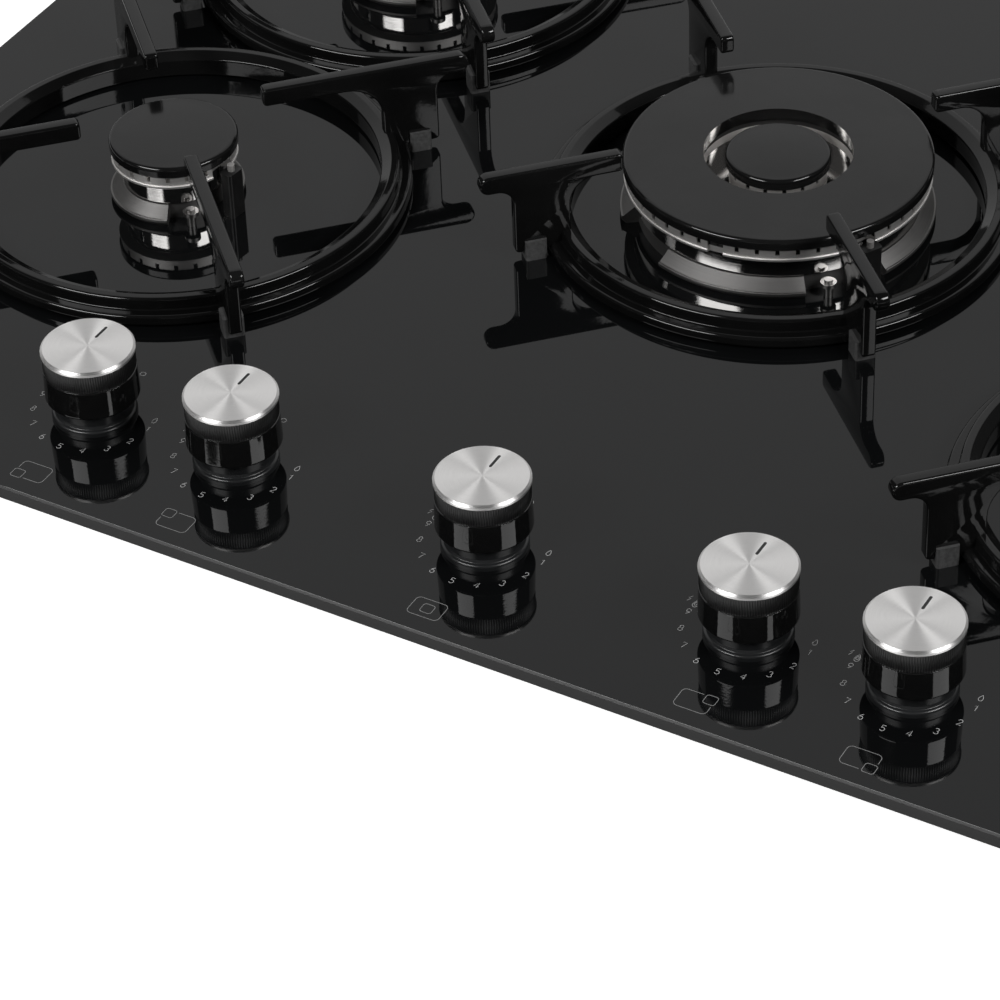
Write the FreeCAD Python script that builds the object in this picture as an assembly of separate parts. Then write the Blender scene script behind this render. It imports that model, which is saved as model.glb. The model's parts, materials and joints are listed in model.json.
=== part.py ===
# Built-in gas cooktop: black glass top, five burners with cast-iron pan supports, and
# a row of five turn-and-push knobs along the front edge.
# Frame: X to the right, Y to the back, Z up. The origin is the middle of the underside
# of the sheet-steel burner box, so the worktop surface is at z = box_drop.
# All sizes are in millimetres. Heights called "above the glass" count from glass_top.
import FreeCAD
import Part
import math
import os

V = FreeCAD.Vector

# ---------------------------------------------------------------- driving dimensions
# glass panel and its seal
glass_w = 752.0
glass_d = 520.0
glass_t = 6.0
glass_corner_r = 6.0
glass_edge_bevel = 0.8
seal_t = 2.0
seal_w = 7.0
seal_inset = 2.0              # glass front edge to the outer side of the seal
seal_corner_r = 8.0

# burner box, a folded sheet tray that drops through the worktop cut-out
box_drop = 45.0               # worktop surface to the underside of the box
box_inset_x = 98.0            # the glass beyond the box at the left and right
box_inset_y = 17.0            # and at the front and back
sheet = 0.8
flange_w = 6.0                # top rim that is bonded under the glass
box_corner_r = 6.0

# burners
side_in = 39.0                # side wall of the box to the middle of a side burner
front_y = -53.0               # from the middle of the glass, as is the next
wok_y = 52.0
ring_gap = 1.0                # between a front and a rear pan support

# knob row
knob_in = 41.0                # front wall of the box to the knobs' axes
inner_knob_x = 114.5
outer_knob_x = 182.5

# pan support casting
ring_out_r = 102.5            # outer edge of the low step round the ring
ring_w = 13.5
ring_wall_r = 97.4            # upright wall above that step
ring_ledge_h = 6.0            # top of the step above the glass
ring_h = 11.6                 # top of the ring above the glass
ring_lift = 1.2               # underside of the ring above the glass
ring_step = 4.5               # width of the sloped inner part of the ring
ring_slope = 2.4              # fall of that slope
ring_edge_r = 1.3             # rounding of the ring's outer edges
fin_t = 6.0
fin_tip_r = 132.0
fin_leg_r = 117.5             # outer edge of the upright leg
fin_h = 44.5                  # pan level above the glass
fin_arm_h = 8.6               # depth of the arm that overhangs the leg
fin_underside_r = 9.0         # hollow between arm and leg
fin_edge_r = 1.1
fin_lift = 3.8                # underside of the leg above the glass
fin_min_r = 40.0              # the fins never reach nearer the middle than this
fin_cap_gap = 3.0             # fin end to burner cap, seen from above
fin_web_r = 16.0              # hollow between arm and ring on the inner side
fin_web_in = 3.0              # inner face of the leg to the middle of the ring
fin_root = 2.0                # the fin's root ends this far up inside the ring
fin_end_r = 2.0               # rounding of the fin's inner end and of its heel
foot_w = 9.5                  # rubber foot, along the fin
foot_t = 9.0                  # rubber foot, across the fin
foot_h = 9.5
foot_slot = 2.5               # how far the leg sits down into the foot
foot_inset = 4.0              # outer edge of the leg to the foot
foot_clear = 0.2              # foot to the arch it sits in, along the fin
foot_round = 1.2

# burners: name, then place, cap radius, radius of the cup's neck, and the knob it belongs to
box_w = glass_w - 2 * box_inset_x
box_d = glass_d - 2 * box_inset_y
side_x = box_w / 2 - side_in
rear_y = front_y + 2 * ring_out_r + ring_gap
burners = {
    "front_left": (-side_x, front_y, 28.0, 17.0, -outer_knob_x),
    "rear_left": (-side_x, rear_y, 37.0, 24.0, -inner_knob_x),
    "centre": (0.0, wok_y, 66.4, 34.0, 0.0),
    "rear_right": (side_x, rear_y, 37.0, 24.0, inner_knob_x),
    "front_right": (side_x, front_y, 46.0, 28.0, outer_knob_x),
}

# burner heights above the glass, the same on all five
skirt_z = 3.8
wall_foot_z = 8.0
lip_z = 18.8
lip_t = 1.2
port_top_z = 24.3
cap_t = 5.2
head_overhang = 4.7           # cap edge beyond the polished wall
cap_edge_r = 1.7
cap_dome = 0.6                # rise of the cap's middle over its edge
cap_rim = 0.6                 # chamfer under the cap's edge
port_w = 1.8
port_h = 2.7
port_pitch = 8.0
lip_inset = 0.4               # cap edge to the bright lip
lip_slope = 1.2               # height of the cone that carries the lip
port_inset = 0.9              # cap edge to the band of slots
head_wall = 3.0
head_floor_t = 2.5
feed_r = 6.0                  # mixture opening in the floor of a side burner's head
feed_wall = 2.5
feed_h = 7.0
spigot_z = 2.0                # lower end of the head's spigot
spigot_wall = 2.0
guide_h = 2.0                 # rim under a cap that keeps it in the middle
guide_wall = 2.0
inner_crown_r = 21.0          # small burner in the middle of the wok burner
inner_cap_over = 1.6          # its cap beyond its crown
inner_feed_r = 5.0
outer_well_r = 33.0           # inner edge of the wok burner's ring channel
well_wall = 2.0
well_cap_over = 1.0           # ring cap beyond the well's wall, inwards
air_w = 8.0                   # air openings between crown and well
air_gap = 3.0
skirt_out = 1.4               # rim of the cup's skirt beyond the cap edge
skirt_edge_h = 1.4
skirt_taper = 2.0
skirt_land = 0.8
skirt_gap = 0.2               # top of the skirt beyond the polished wall
cup_mouth_z = 1.5
cup_wall = 2.0
cup_depth = 38.0              # below the glass top
cup_clear = 0.5               # cup to glass hole
seat_clear = 0.3              # lift-off pieces to what they sit in
boss_wall = 2.0               # round the gas pipe where it enters the cup
boss_len = 3.5
jet_r = 2.5
jet_bore_r = 0.6
jet_h = 9.0
jet_nut_r = 4.5
jet_nut_top = 6.0             # above the outside of the cup's floor

# ignition and flame sensor of a burner
sensor_angle = -45.0          # the sensor stands under the front right fin
sensor_out = 4.9              # polished wall to the sensor's axis
sensor_post_r = 2.0
sensor_post_h = 5.4
sensor_flange_r = 3.4
sensor_flange_t = 1.8
sensor_tip_r = 1.8
sensor_tip_h = 1.2
tower_beside = 15.5           # sensor to ignition tower, along the polished wall
tower_gap = 0.8               # cap edge to the tower
tower_w = 9.0
tower_len = 6.0
tower_z = 22.0
tower_round = 1.5
pin_r = 1.6
electrode_up = 3.0            # electrode tip above its tower
sensor_notch_w = 19.0         # gap in the skirt at the sensor
tower_notch_w = 21.0          # and at the tower, so that the two gaps meet
wok_gaps = 4                  # such gaps round the skirt of the large burner
notch_depth = 1.5             # behind the polished wall
niche_w = 11.0                # recess of the head in front of the tower
niche_depth = 2.0             # behind the polished wall
niche_wall = 2.0
relief_angle = -87.0          # one wide shallow recess in the rim of the large head
relief_w = 7.0
relief_depth = 1.6

# knobs, heights above the glass
knob_cap_r = 19.25
knob_top = 33.5
knob_cap_t = 2.2
knob_cap_bevel = 0.9
knob_cap_foot = 0.3           # chamfer on the lower edge of the cap
knurl_r = 18.9
knurl_depth = 0.3
knurl_count = 120
knurl_bottom = 23.2
barrel_top_r = 19.0
barrel_r = 19.5
barrel_bottom = 10.0
barrel_round = 2.2
knob_wall = 2.4
knob_roof = 3.0
hub_r = 6.0
hub_gap = 1.0                 # hub to the collar when the knob is pushed in
rib_t = 1.6
rib_count = 6
pointer_w = 1.3
pointer_len = 8.2
pointer_start = 5.8           # from the knob's axis
pointer_depth = 0.4

# fixed collar round each spindle
collar_r = 15.6
collar_h = 8.5
collar_base_r = 17.5
collar_base_h = 2.6
collar_wall = 1.8
collar_floor_t = 2.0
collar_step = 1.0             # small chamfers on the collar

# taps
push = 3.5                    # push-in travel of a knob
spindle_r = 3.0
spindle_flat = 1.0            # depth of the flat
spindle_clear = 0.08          # running fit in the tap cover
glass_hole_r = 6.5            # spindle hole in the glass
spindle_up = 27.0             # top of the spindle above the glass
spindle_flat_gap = 2.0        # collar to the lower end of the flat
spindle_gap = 1.0             # spindle to plug when the knob is pushed in
tap_w = 22.0
tap_top = -14.0               # from the glass top
tap_bottom = -45.0
tap_cover_t = 2.0
tap_round = 2.0
nipple_r = 4.0
outlet_r = 5.0
outlet_len = 3.5
plug_r_top = 6.0
plug_r_bottom = 4.6
plug_clear = 0.05
plug_top = -20.0
plug_bottom = -41.0
plug_port_r = 1.5             # gas way up the plug's axis and out to both sides
plug_port_z = -30.5
gas_in_r = 1.4
gas_in_z = -42.0
chamber_r = 3.5               # space below the plug
tang_w = 4.6
tang_t = 2.0
tang_clear = 0.1
tang_len = 3.5                # overlap of tang and slot at rest
slot_end_gap = 0.5            # slot below the tang when the knob is pushed in
switch_reach = 7.0
switch_w = 12.0
switch_h = 14.0
wire_r = 1.2                  # cable that links the ignition switches
wire_drop = 4.0

# gas supply
rail_r = 6.5
rail_z = -40.0
rail_bore_r = 2.8
rail_gap = 1.0                # rail to the taps
rail_end = 4.0                # rail beyond the outer taps, and its closed ends
pipe_r = 3.0
pipe_bore_r = 2.0
pipe_z = -29.0
pipe_bend_r = 14.0
pipe_in = 0.5                 # how far a pipe's end sits inside its socket
pipe_turn = 52.0              # knob axes to the place where a pipe turns aside
pipe_lane = 82.0              # knob axes to the place where it runs straight back again
pipe_entry = 25.0             # last straight piece before a rear burner
inlet_r = 10.3                # thread of the gas connection, crest radius
inlet_len = 13.5
inlet_nut = 24.0
inlet_nut_t = 3.0
inlet_bore_r = 4.5
supply_r = 6.0

# electrics
module_w = 64.0
module_d = 42.0
module_h = 17.0
module_y = -75.0
terminal_w = 44.0
terminal_d = 28.0
terminal_h = 20.0
terminal_gap = 12.0           # terminal to the rear wall
gland_r = 8.0
gland_bore_r = 4.0
gland_len = 14.0
gland_neck = 2.0              # the gland's sleeve is this much slimmer than its collar
gland_collar_t = 3.0
gland_inside = 4.0
terminal_x = -150.0

# fixings
clamp_w = 20.0
clamp_t = 1.5
clamp_reach = 14.0
worktop_t = 30.0
clamp_top_gap = 4.0           # worktop surface to the top of a clamp
clamp_screw_drop = 12.0
clamp_screw_in = 5.0
clamp_y = 170.0
guard_hole_r = 2.25           # spare holes for a protective plate under the box
guard_in = 28.0               # walls of the box to those holes
screw_r = 2.0
screw_head_r = 3.8
screw_head_t = 2.4

# ---------------------------------------------------------------- derived places
worktop_z = box_drop
knob_y = knob_in - box_d / 2
glass_bottom = worktop_z + seal_t
glass_top = glass_bottom + glass_t
ring_in_r = ring_out_r - ring_w
foot_r = fin_leg_r - foot_inset - foot_w / 2
spindle_bottom = plug_top - tang_len
rail_y = knob_y - tap_w / 2 - rail_r - rail_gap
supply_x = (inner_knob_x + outer_knob_x) / 2
supply_z = glass_top + rail_z
knob_places = (-outer_knob_x, -inner_knob_x, 0.0, inner_knob_x, outer_knob_x)
head_floor = wall_foot_z + seat_clear
box_back = box_d / 2
tiny = 1e-6                   # two places nearer than this count as the same
over = 1.0                    # how far a cutting tool runs past the faces it cuts
diagonal = math.sqrt(0.5)


# ---------------------------------------------------------------- helpers
def cyl(r, z0, z1, x=0.0, y=0.0):
    return Part.makeCylinder(r, z1 - z0, V(x, y, z0))


def cone(r0, r1, z0, z1, x=0.0, y=0.0):
    return Part.makeCone(r0, r1, z1 - z0, V(x, y, z0))


def block(x0, x1, y0, y1, z0, z1):
    return Part.makeBox(x1 - x0, y1 - y0, z1 - z0, V(x0, y0, z0))


def rod(r, x, y0, y1, z):
    """Cylinder along Y."""
    return Part.makeCylinder(r, y1 - y0, V(x, y0, z), V(0, 1, 0))


def ring(r_out, r_in, z0, z1):
    return cyl(r_out, z0, z1).cut(cyl(r_in, z0 - over, z1 + over))


def round_upright(solid, r):
    """Rounds the upright edges of a block."""
    if r <= 0:
        return solid
    return solid.makeFillet(r, [e for e in solid.Edges if e.BoundBox.ZLength > tiny])


def spin(points):
    """Solid of revolution about Z from (r, z) corners."""
    wire = Part.makePolygon([V(r, 0, z) for r, z in points + points[:1]])
    return Part.Face(wire).revolve(V(0, 0, 0), V(0, 0, 1), 360)


def spin_edges(edges):
    """Solid of revolution about Z from edges drawn in the XZ plane."""
    return Part.Face(Part.Wire(edges)).revolve(V(0, 0, 0), V(0, 0, 1), 360)


def line(a, b):
    return Part.LineSegment(V(a[0], 0, a[1]), V(b[0], 0, b[1])).toShape()


def arc(a, mid, b):
    return Part.Arc(V(a[0], 0, a[1]), V(mid[0], 0, mid[1]), V(b[0], 0, b[1])).toShape()


def round_rect(w, d, r, z0, z1):
    """Upright prism on a rounded rectangle centred on the Z axis."""
    return round_upright(block(-w / 2, w / 2, -d / 2, d / 2, z0, z1), r)


def turned(shape, angle):
    out = shape.copy()
    out.rotate(V(0, 0, 0), V(0, 0, 1), angle)
    return out


def moved(shape, x=0.0, y=0.0, z=0.0):
    out = shape.copy()
    out.translate(V(x, y, z))
    return out


def join(shapes):
    first = shapes[0]
    return first.fuse(shapes[1:]).removeSplitter() if len(shapes) > 1 else first


def group(shapes):
    return Part.makeCompound(shapes)


def save(name, shape):
    shape.exportStep("parts/" + name + ".step")


def polar(r, angle):
    a = math.radians(angle)
    return r * math.cos(a), r * math.sin(a)


# ---------------------------------------------------------------- pan supports
def ring_profile():
    """Section of the ring: a low outer step, an upright wall and an inner part sloping down."""
    out = ring_out_r
    wall = ring_wall_r
    inn = ring_in_r
    low = ring_lift
    ledge = ring_ledge_h
    top = ring_h
    e = ring_edge_r
    k = e * (1 - diagonal)
    knee = inn + ring_step
    return [
        line((inn, low), (out - e, low)),
        arc((out - e, low), (out - k, low + k), (out, low + e)),
        line((out, low + e), (out, ledge - e)),
        arc((out, ledge - e), (out - k, ledge - k), (out - e, ledge)),
        line((out - e, ledge), (wall, ledge)),
        line((wall, ledge), (wall, top - e)),
        arc((wall, top - e), (wall - k, top - k), (wall - e, top)),
        line((wall - e, top), (knee, top)),
        line((knee, top), (inn, top - ring_slope)),
        line((inn, top - ring_slope), (inn, low)),
    ]


def fin(inner_r):
    """One upright fin in the XZ plane: arm, leg, web to the ring and the arch for its foot."""
    top = fin_h
    under = fin_h - fin_arm_h
    tip = fin_arm_h / 2
    end = fin_end_r
    leg = fin_leg_r
    u = fin_underside_r
    k = diagonal
    arch = foot_w / 2 + foot_clear
    arch_top = foot_h - foot_slot
    root = ring_lift + fin_root
    leg_in = ring_out_r - ring_w / 2
    web = leg_in - fin_web_in
    w = fin_web_r
    edges = [
        line((fin_tip_r - tip, top), (inner_r + end, top)),
        arc((inner_r + end, top), (inner_r + end - end * k, top - end + end * k), (inner_r, top - end)),
        line((inner_r, top - end), (inner_r, under + end)),
        arc((inner_r, under + end), (inner_r + end - end * k, under + end - end * k),
            (inner_r + end, under)),
        line((inner_r + end, under), (web - w, under)),
        arc((web - w, under), (web - w + w * k, under - w + w * k), (web, under - w)),
        line((web, under - w), (web, root)),
        line((web, root), (leg_in, root)),
        line((leg_in, root), (leg_in + end, fin_lift)),
        line((leg_in + end, fin_lift), (foot_r - arch, fin_lift)),
        line((foot_r - arch, fin_lift), (foot_r - arch, arch_top)),
        line((foot_r - arch, arch_top), (foot_r + arch, arch_top)),
        line((foot_r + arch, arch_top), (foot_r + arch, fin_lift)),
        line((foot_r + arch, fin_lift), (leg - end, fin_lift)),
        arc((leg - end, fin_lift), (leg - end + end * k, fin_lift + end - end * k), (leg, fin_lift + end)),
        line((leg, fin_lift + end), (leg, under - u)),
        arc((leg, under - u), (leg + u - u * k, under - u + u * k), (leg + u, under)),
        line((leg + u, under), (fin_tip_r - tip, under)),
        arc((fin_tip_r - tip, under), (fin_tip_r, under + tip), (fin_tip_r - tip, top)),
    ]
    face = Part.Face(Part.Wire(edges))
    plate = moved(face, 0, -fin_t / 2).extrude(V(0, fin_t, 0))
    outline = []
    for e in plate.Edges:
        b = e.BoundBox
        flat = b.YLength < tiny
        outer = b.ZMin > under - u - tiny and b.XMin > web - w - tiny
        upper = b.ZMin > top - end - tiny
        leg_edge = abs(b.XMin - leg) < tiny and b.XLength < tiny
        if flat and (outer or upper or leg_edge):
            outline.append(e)
    return plate.makeFillet(fin_edge_r, outline)


def pan_support(inner_r):
    one = fin(inner_r)
    return join([spin_edges(ring_profile())] + [turned(one, 45 + 90 * i) for i in range(4)])


def support_feet():
    """Four rubber blocks that stand in the arches of the legs."""
    arch_top = foot_h - foot_slot
    body = block(foot_r - foot_w / 2, foot_r + foot_w / 2, -foot_t / 2, foot_t / 2, 0, foot_h)
    body = round_upright(body, foot_round)
    slot = block(foot_r - foot_w, foot_r + foot_w, -fin_t / 2, fin_t / 2, arch_top, foot_h + over)
    body = body.cut(slot)
    return [turned(body, 45 + 90 * i) for i in range(4)]


# ---------------------------------------------------------------- burners
def tower_angle(cap_r):
    return sensor_angle + math.degrees(tower_beside / (cap_r - head_overhang))


def cup(cap_r, neck_r, gaps):
    """Fixed burner cup: neck through the glass, flange and satin skirt above it."""
    wall_r = cap_r - head_overhang
    skirt_r = cap_r + skirt_out
    inner = neck_r - cup_wall
    deep = -cup_depth
    shape = spin([
        (0, deep), (neck_r, deep), (neck_r, 0), (skirt_r - skirt_taper, 0),
        (skirt_r, skirt_z - skirt_edge_h), (skirt_r, skirt_z), (skirt_r - skirt_land, skirt_z),
        (wall_r + skirt_gap, wall_foot_z), (wall_r - head_wall, wall_foot_z),
        (inner, cup_mouth_z), (inner, deep + cup_wall), (0, deep + cup_wall),
    ])
    cuts = [cyl(jet_r, deep - over, deep + cup_wall + over)]
    notch_r = wall_r - notch_depth
    notch_top = wall_foot_z + over
    for width, angle in ((sensor_notch_w, sensor_angle), (tower_notch_w, tower_angle(cap_r))):
        gap = block(notch_r, skirt_r + over, -width / 2, width / 2, -over, notch_top)
        cuts += [turned(gap, angle + 360.0 * i / gaps) for i in range(gaps)]
    shape = shape.cut(cuts)
    boss = rod(pipe_r + boss_wall, 0, -neck_r - boss_len, -neck_r + over, pipe_z)
    boss = boss.cut(cyl(neck_r - cup_wall / 2, deep, 0))
    bore = rod(pipe_r, 0, -neck_r - boss_len - over, -inner + over, pipe_z)
    return join([shape, boss]).cut(bore)


def flame_slots(outer_r):
    """Radial flame slots, open at the top, round a ring of the given radius."""
    count = 4 * int(math.pi * outer_r / port_pitch / 2)
    inside = outer_r - head_wall - over
    slot = block(inside, outer_r + over, -port_w / 2, port_w / 2, port_top_z - port_h, port_top_z + over)
    return [turned(slot, 360.0 * (i + 0.5) / count) for i in range(count)]


def head_cuts(cap_r):
    """Flame slots of a head and its recess in front of the ignition tower."""
    inside = cap_r - head_overhang - niche_depth
    half = niche_w / 2
    recess = block(inside, cap_r + over, -half, half, head_floor - over, port_top_z + over)
    return flame_slots(cap_r - port_inset) + [turned(recess, tower_angle(cap_r))]


def niche(cap_r):
    """Inner wall round that recess; it ends just below the rim of the cap."""
    wall_r = cap_r - head_overhang
    low_r = wall_r - head_wall / 2
    high_r = cap_r - port_inset - head_wall / 2
    half = niche_w / 2 + niche_wall
    top = port_top_z - guide_h - seat_clear
    core = spin([
        (0, head_floor), (low_r, head_floor), (low_r, lip_z - lip_slope), (high_r, lip_z + lip_t),
        (high_r, top), (0, top),
    ])
    bar = block(wall_r - niche_depth - niche_wall, cap_r, -half, half, head_floor, top)
    return turned(core.common(bar), tower_angle(cap_r))


def outer_wall(cap_r):
    """Section of a head's outer wall from its foot over lip and slots back to its floor."""
    wall_r = cap_r - head_overhang
    lip_r = cap_r - lip_inset
    port_r = cap_r - port_inset
    lip_top = lip_z + lip_t
    return [
        (wall_r, head_floor), (wall_r, lip_z - lip_slope), (lip_r, lip_z), (lip_r, lip_top),
        (port_r, lip_top), (port_r, port_top_z), (port_r - head_wall, port_top_z),
        (port_r - head_wall, lip_top), (wall_r - head_wall, lip_z - lip_slope),
        (wall_r - head_wall, head_floor + head_floor_t),
    ]


def head(cap_r, neck_r):
    """Lift-off flame spreader: polished wall, bright lip and a ring of slots under the cap."""
    up = head_floor + head_floor_t
    tube_r = feed_r + feed_wall
    tube_top = head_floor + feed_h
    body = spin([(feed_r, head_floor)] + outer_wall(cap_r) + [
        (tube_r, up), (tube_r, tube_top), (feed_r, tube_top),
    ])
    plug_r = neck_r - cup_wall - seat_clear
    spigot = ring(plug_r, plug_r - spigot_wall, spigot_z, up)
    return join([body, spigot, niche(cap_r)]).cut(head_cuts(cap_r))


def cap_profile(r_in, r_out):
    """Section of an enamelled cap: rounded edge and a top that is part of a large sphere."""
    z0 = port_top_z
    e = cap_edge_r
    top = z0 + cap_t
    k = e * (1 - diagonal)
    a = r_out - e
    sphere_r = (a * a + cap_dome * cap_dome) / (2 * cap_dome)
    low = top + cap_dome - sphere_r

    def height(r):
        return low + math.sqrt(sphere_r * sphere_r - r * r)

    return [
        line((r_in, z0), (r_out - cap_rim, z0)),
        line((r_out - cap_rim, z0), (r_out, z0 + cap_rim)),
        line((r_out, z0 + cap_rim), (r_out, top - e)),
        arc((r_out, top - e), (r_out - k, top - k), (a, top)),
        arc((a, top), ((a + r_in) / 2, height((a + r_in) / 2)), (r_in, height(r_in))),
        line((r_in, height(r_in)), (r_in, z0)),
    ]


def cap(r_in, r_out, wall_in_r):
    """Cap with a rim below that fits inside a wall of the given radius."""
    guide_r = wall_in_r - seat_clear
    guide = ring(guide_r, guide_r - guide_wall, port_top_z - guide_h, port_top_z)
    return join([spin_edges(cap_profile(r_in, r_out)), guide])


def side_cap(cap_r):
    return cap(0.0, cap_r, cap_r - port_inset - head_wall)


def wok_caps(cap_r):
    """Ring cap over the outer channel, and the small cap in the middle."""
    outer = cap(outer_well_r - well_cap_over, cap_r, cap_r - port_inset - head_wall)
    small = cap(0.0, inner_crown_r + inner_cap_over, inner_crown_r - head_wall)
    return [outer, small]


def wok_head(cap_r, neck_r):
    """Two-ring flame spreader: an outer channel and a small crown joined by a floor."""
    up = head_floor + head_floor_t
    well = outer_well_r
    crown = inner_crown_r
    body = spin([(inner_feed_r, head_floor)] + outer_wall(cap_r) + [
        (well + well_wall, up), (well + well_wall, port_top_z), (well, port_top_z),
        (well, up), (crown, up), (crown, port_top_z), (crown - head_wall, port_top_z),
        (crown - head_wall, up), (inner_feed_r, up),
    ])
    plug_r = neck_r - cup_wall - seat_clear
    spigot = ring(plug_r, plug_r - spigot_wall, spigot_z, head_floor + over)
    opening = block(crown + air_gap, well - air_gap, -air_w / 2, air_w / 2, head_floor - over, up + over)
    air = [turned(opening, 90 * i) for i in range(4)]
    relief_in = cap_r - port_inset - relief_depth
    half = relief_w / 2
    relief = turned(block(relief_in, cap_r, -half, half, lip_z - lip_slope, port_top_z + over), relief_angle)
    return join([body, spigot, niche(cap_r)]).cut(head_cuts(cap_r) + flame_slots(crown) + air + [relief])


def injector():
    """Screwed-in jet with its nut on the floor of the cup."""
    deep = -cup_depth
    jet = ring(jet_r, jet_bore_r, deep, deep + jet_h)
    nut = ring(jet_nut_r, jet_r, deep + cup_wall, deep + jet_nut_top)
    return join([jet, nut])


def ignition_tower(cap_r):
    """Black carrier outside the burner's edge, and the spark electrode in it."""
    r0 = cap_r + tower_gap
    along = r0 + tower_len / 2
    body = block(r0, r0 + tower_len, -tower_w / 2, tower_w / 2, 0, tower_z)
    body = round_upright(body, tower_round).cut(cyl(pin_r, -over, tower_z + over, along))
    electrode = cyl(pin_r, 0, tower_z + electrode_up, along)
    return [turned(piece, tower_angle(cap_r)) for piece in (body, electrode)]


def flame_sensor(cap_r):
    """Low metal sensor with a flange, in the gap of the skirt."""
    flange_z = sensor_post_h
    flange_top = flange_z + sensor_flange_t
    tip_z = flange_top + sensor_tip_h
    shape = spin([
        (0, 0), (sensor_post_r, 0), (sensor_post_r, flange_z), (sensor_flange_r, flange_z),
        (sensor_flange_r, flange_top), (sensor_tip_r, flange_top), (sensor_tip_r, tip_z), (0, tip_z),
    ])
    x, y = polar(cap_r - head_overhang + sensor_out, sensor_angle)
    return moved(shape, x, y)


# ---------------------------------------------------------------- knobs and taps
def knob_cap():
    """Spun steel disc with a bevelled rim and a sunk pointer line towards the back."""
    top = knob_top
    b = knob_cap_bevel
    f = knob_cap_foot
    low = top - knob_cap_t
    disc = spin([
        (0, low), (knob_cap_r - f, low), (knob_cap_r, low + f),
        (knob_cap_r, top - b), (knob_cap_r - b, top), (0, top),
    ])
    return disc.cut(pointer(top - pointer_depth, top + over))


def pointer(z0, z1):
    half = pointer_w / 2
    y0 = pointer_start + half
    y1 = pointer_start + pointer_len - half
    return join([block(-half, half, y0, y1, z0, z1), cyl(half, z0, z1, 0, y0), cyl(half, z0, z1, 0, y1)])


def knurled(z0, z1):
    """Band of fine upright ribs: a star-shaped prism."""
    points = []
    for i in range(2 * knurl_count):
        r = knurl_r if i % 2 == 0 else knurl_r - knurl_depth
        x, y = polar(r, 180.0 * i / knurl_count)
        points.append(V(x, y, z0))
    face = Part.Face(Part.makePolygon(points + points[:1]))
    return face.extrude(V(0, 0, z1 - z0))


def spindle_solid(z0, z1):
    """Round spindle with a flat over its upper part."""
    shaft = cyl(spindle_r, z0, z1)
    wide = spindle_r + over
    flat_z = collar_h + spindle_flat_gap
    return shaft.cut(block(-wide, wide, spindle_r - spindle_flat, wide, flat_z, z1 + over))


def knob_body():
    """Hollow knob: knurled band, tapered glossy barrel with a rounded foot, hub on the spindle."""
    inner = barrel_r - knob_wall
    roof = knob_top - knob_cap_t
    e = barrel_round
    k = e * (1 - diagonal)
    hub_z = collar_h + push + hub_gap
    under_roof = roof - knob_roof
    barrel = spin_edges([
        line((0, barrel_bottom), (barrel_r - e, barrel_bottom)),
        arc((barrel_r - e, barrel_bottom), (barrel_r - k, barrel_bottom + k), (barrel_r, barrel_bottom + e)),
        line((barrel_r, barrel_bottom + e), (barrel_top_r, knurl_bottom)),
        line((barrel_top_r, knurl_bottom), (0, knurl_bottom)),
        line((0, knurl_bottom), (0, barrel_bottom)),
    ])
    band = knurled(knurl_bottom, roof)
    outside = join([barrel, band])
    shell = outside.cut(cyl(inner, barrel_bottom - over, under_roof))
    hub = cyl(hub_r, hub_z, under_roof + over)
    rib = block(hub_r - over, inner + over, -rib_t / 2, rib_t / 2, hub_z + over, under_roof + over)
    ribs = [turned(rib, 360.0 / rib_count * i) for i in range(rib_count)]
    return join([shell, hub] + ribs).cut(spindle_solid(spindle_bottom, spindle_up))


def spindle():
    """Tap spindle with its flat for the knob and a driving tang below."""
    shaft_z = plug_top + push + spindle_gap
    shaft = spindle_solid(shaft_z, spindle_up)
    tang = block(-tang_w / 2, tang_w / 2, -tang_t / 2, tang_t / 2, spindle_bottom, shaft_z + over)
    return join([shaft, tang])


def plug():
    """Tapered tap plug: slot for the tang, and a gas way up its axis to a port on both sides."""
    body = cone(plug_r_bottom, plug_r_top, plug_bottom, plug_top)
    slot_w = tang_w + 2 * tang_clear
    slot_t = tang_t + 2 * tang_clear
    slot_z = spindle_bottom - push - slot_end_gap
    slot = block(-slot_w / 2, slot_w / 2, -slot_t / 2, slot_t / 2, slot_z, plug_top + over)
    reach = plug_r_top + over
    port = Part.makeCylinder(plug_port_r, 2 * reach, V(-reach, 0, plug_port_z), V(1, 0, 0))
    way = cyl(plug_port_r, plug_bottom - over, plug_port_z)
    return body.cut([slot, port, way])


def tap_body():
    """Tap housing with a tapered bore, an inlet nipple to the rail and an outlet for the pipe."""
    h = tap_w / 2
    c = plug_clear
    body = round_rect(tap_w, tap_w, tap_round, tap_bottom, tap_top - tap_cover_t)
    nipple_end = rail_y - knob_y + rail_bore_r
    nipple = rod(nipple_r, 0, nipple_end, -h + over, rail_z)
    outlet = rod(outlet_r, 0, h - over, h + outlet_len, pipe_z)
    body = join([body, nipple, outlet])
    bore = cone(plug_r_bottom + c, plug_r_top + c, plug_bottom - plug_clear, plug_top)
    above = cyl(plug_r_top + c, plug_top, tap_top)
    chamber = cyl(chamber_r, gas_in_z - gas_in_r, plug_bottom)
    gas_in = rod(gas_in_r, 0, nipple_end - over, 0, gas_in_z)
    way_out = rod(pipe_bore_r, 0, plug_r_bottom - over, h + outlet_len, pipe_z)
    socket = rod(pipe_r, 0, h + pipe_in, h + outlet_len + over, pipe_z)
    return body.cut([bore, above, chamber, gas_in, way_out, socket])


def tap_cover():
    """Plate that closes the tap and guides the spindle."""
    plate = round_rect(tap_w, tap_w, tap_round, tap_top - tap_cover_t, tap_top)
    return plate.cut(cyl(spindle_r + spindle_clear, tap_top - tap_cover_t - over, tap_top + over))


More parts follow.
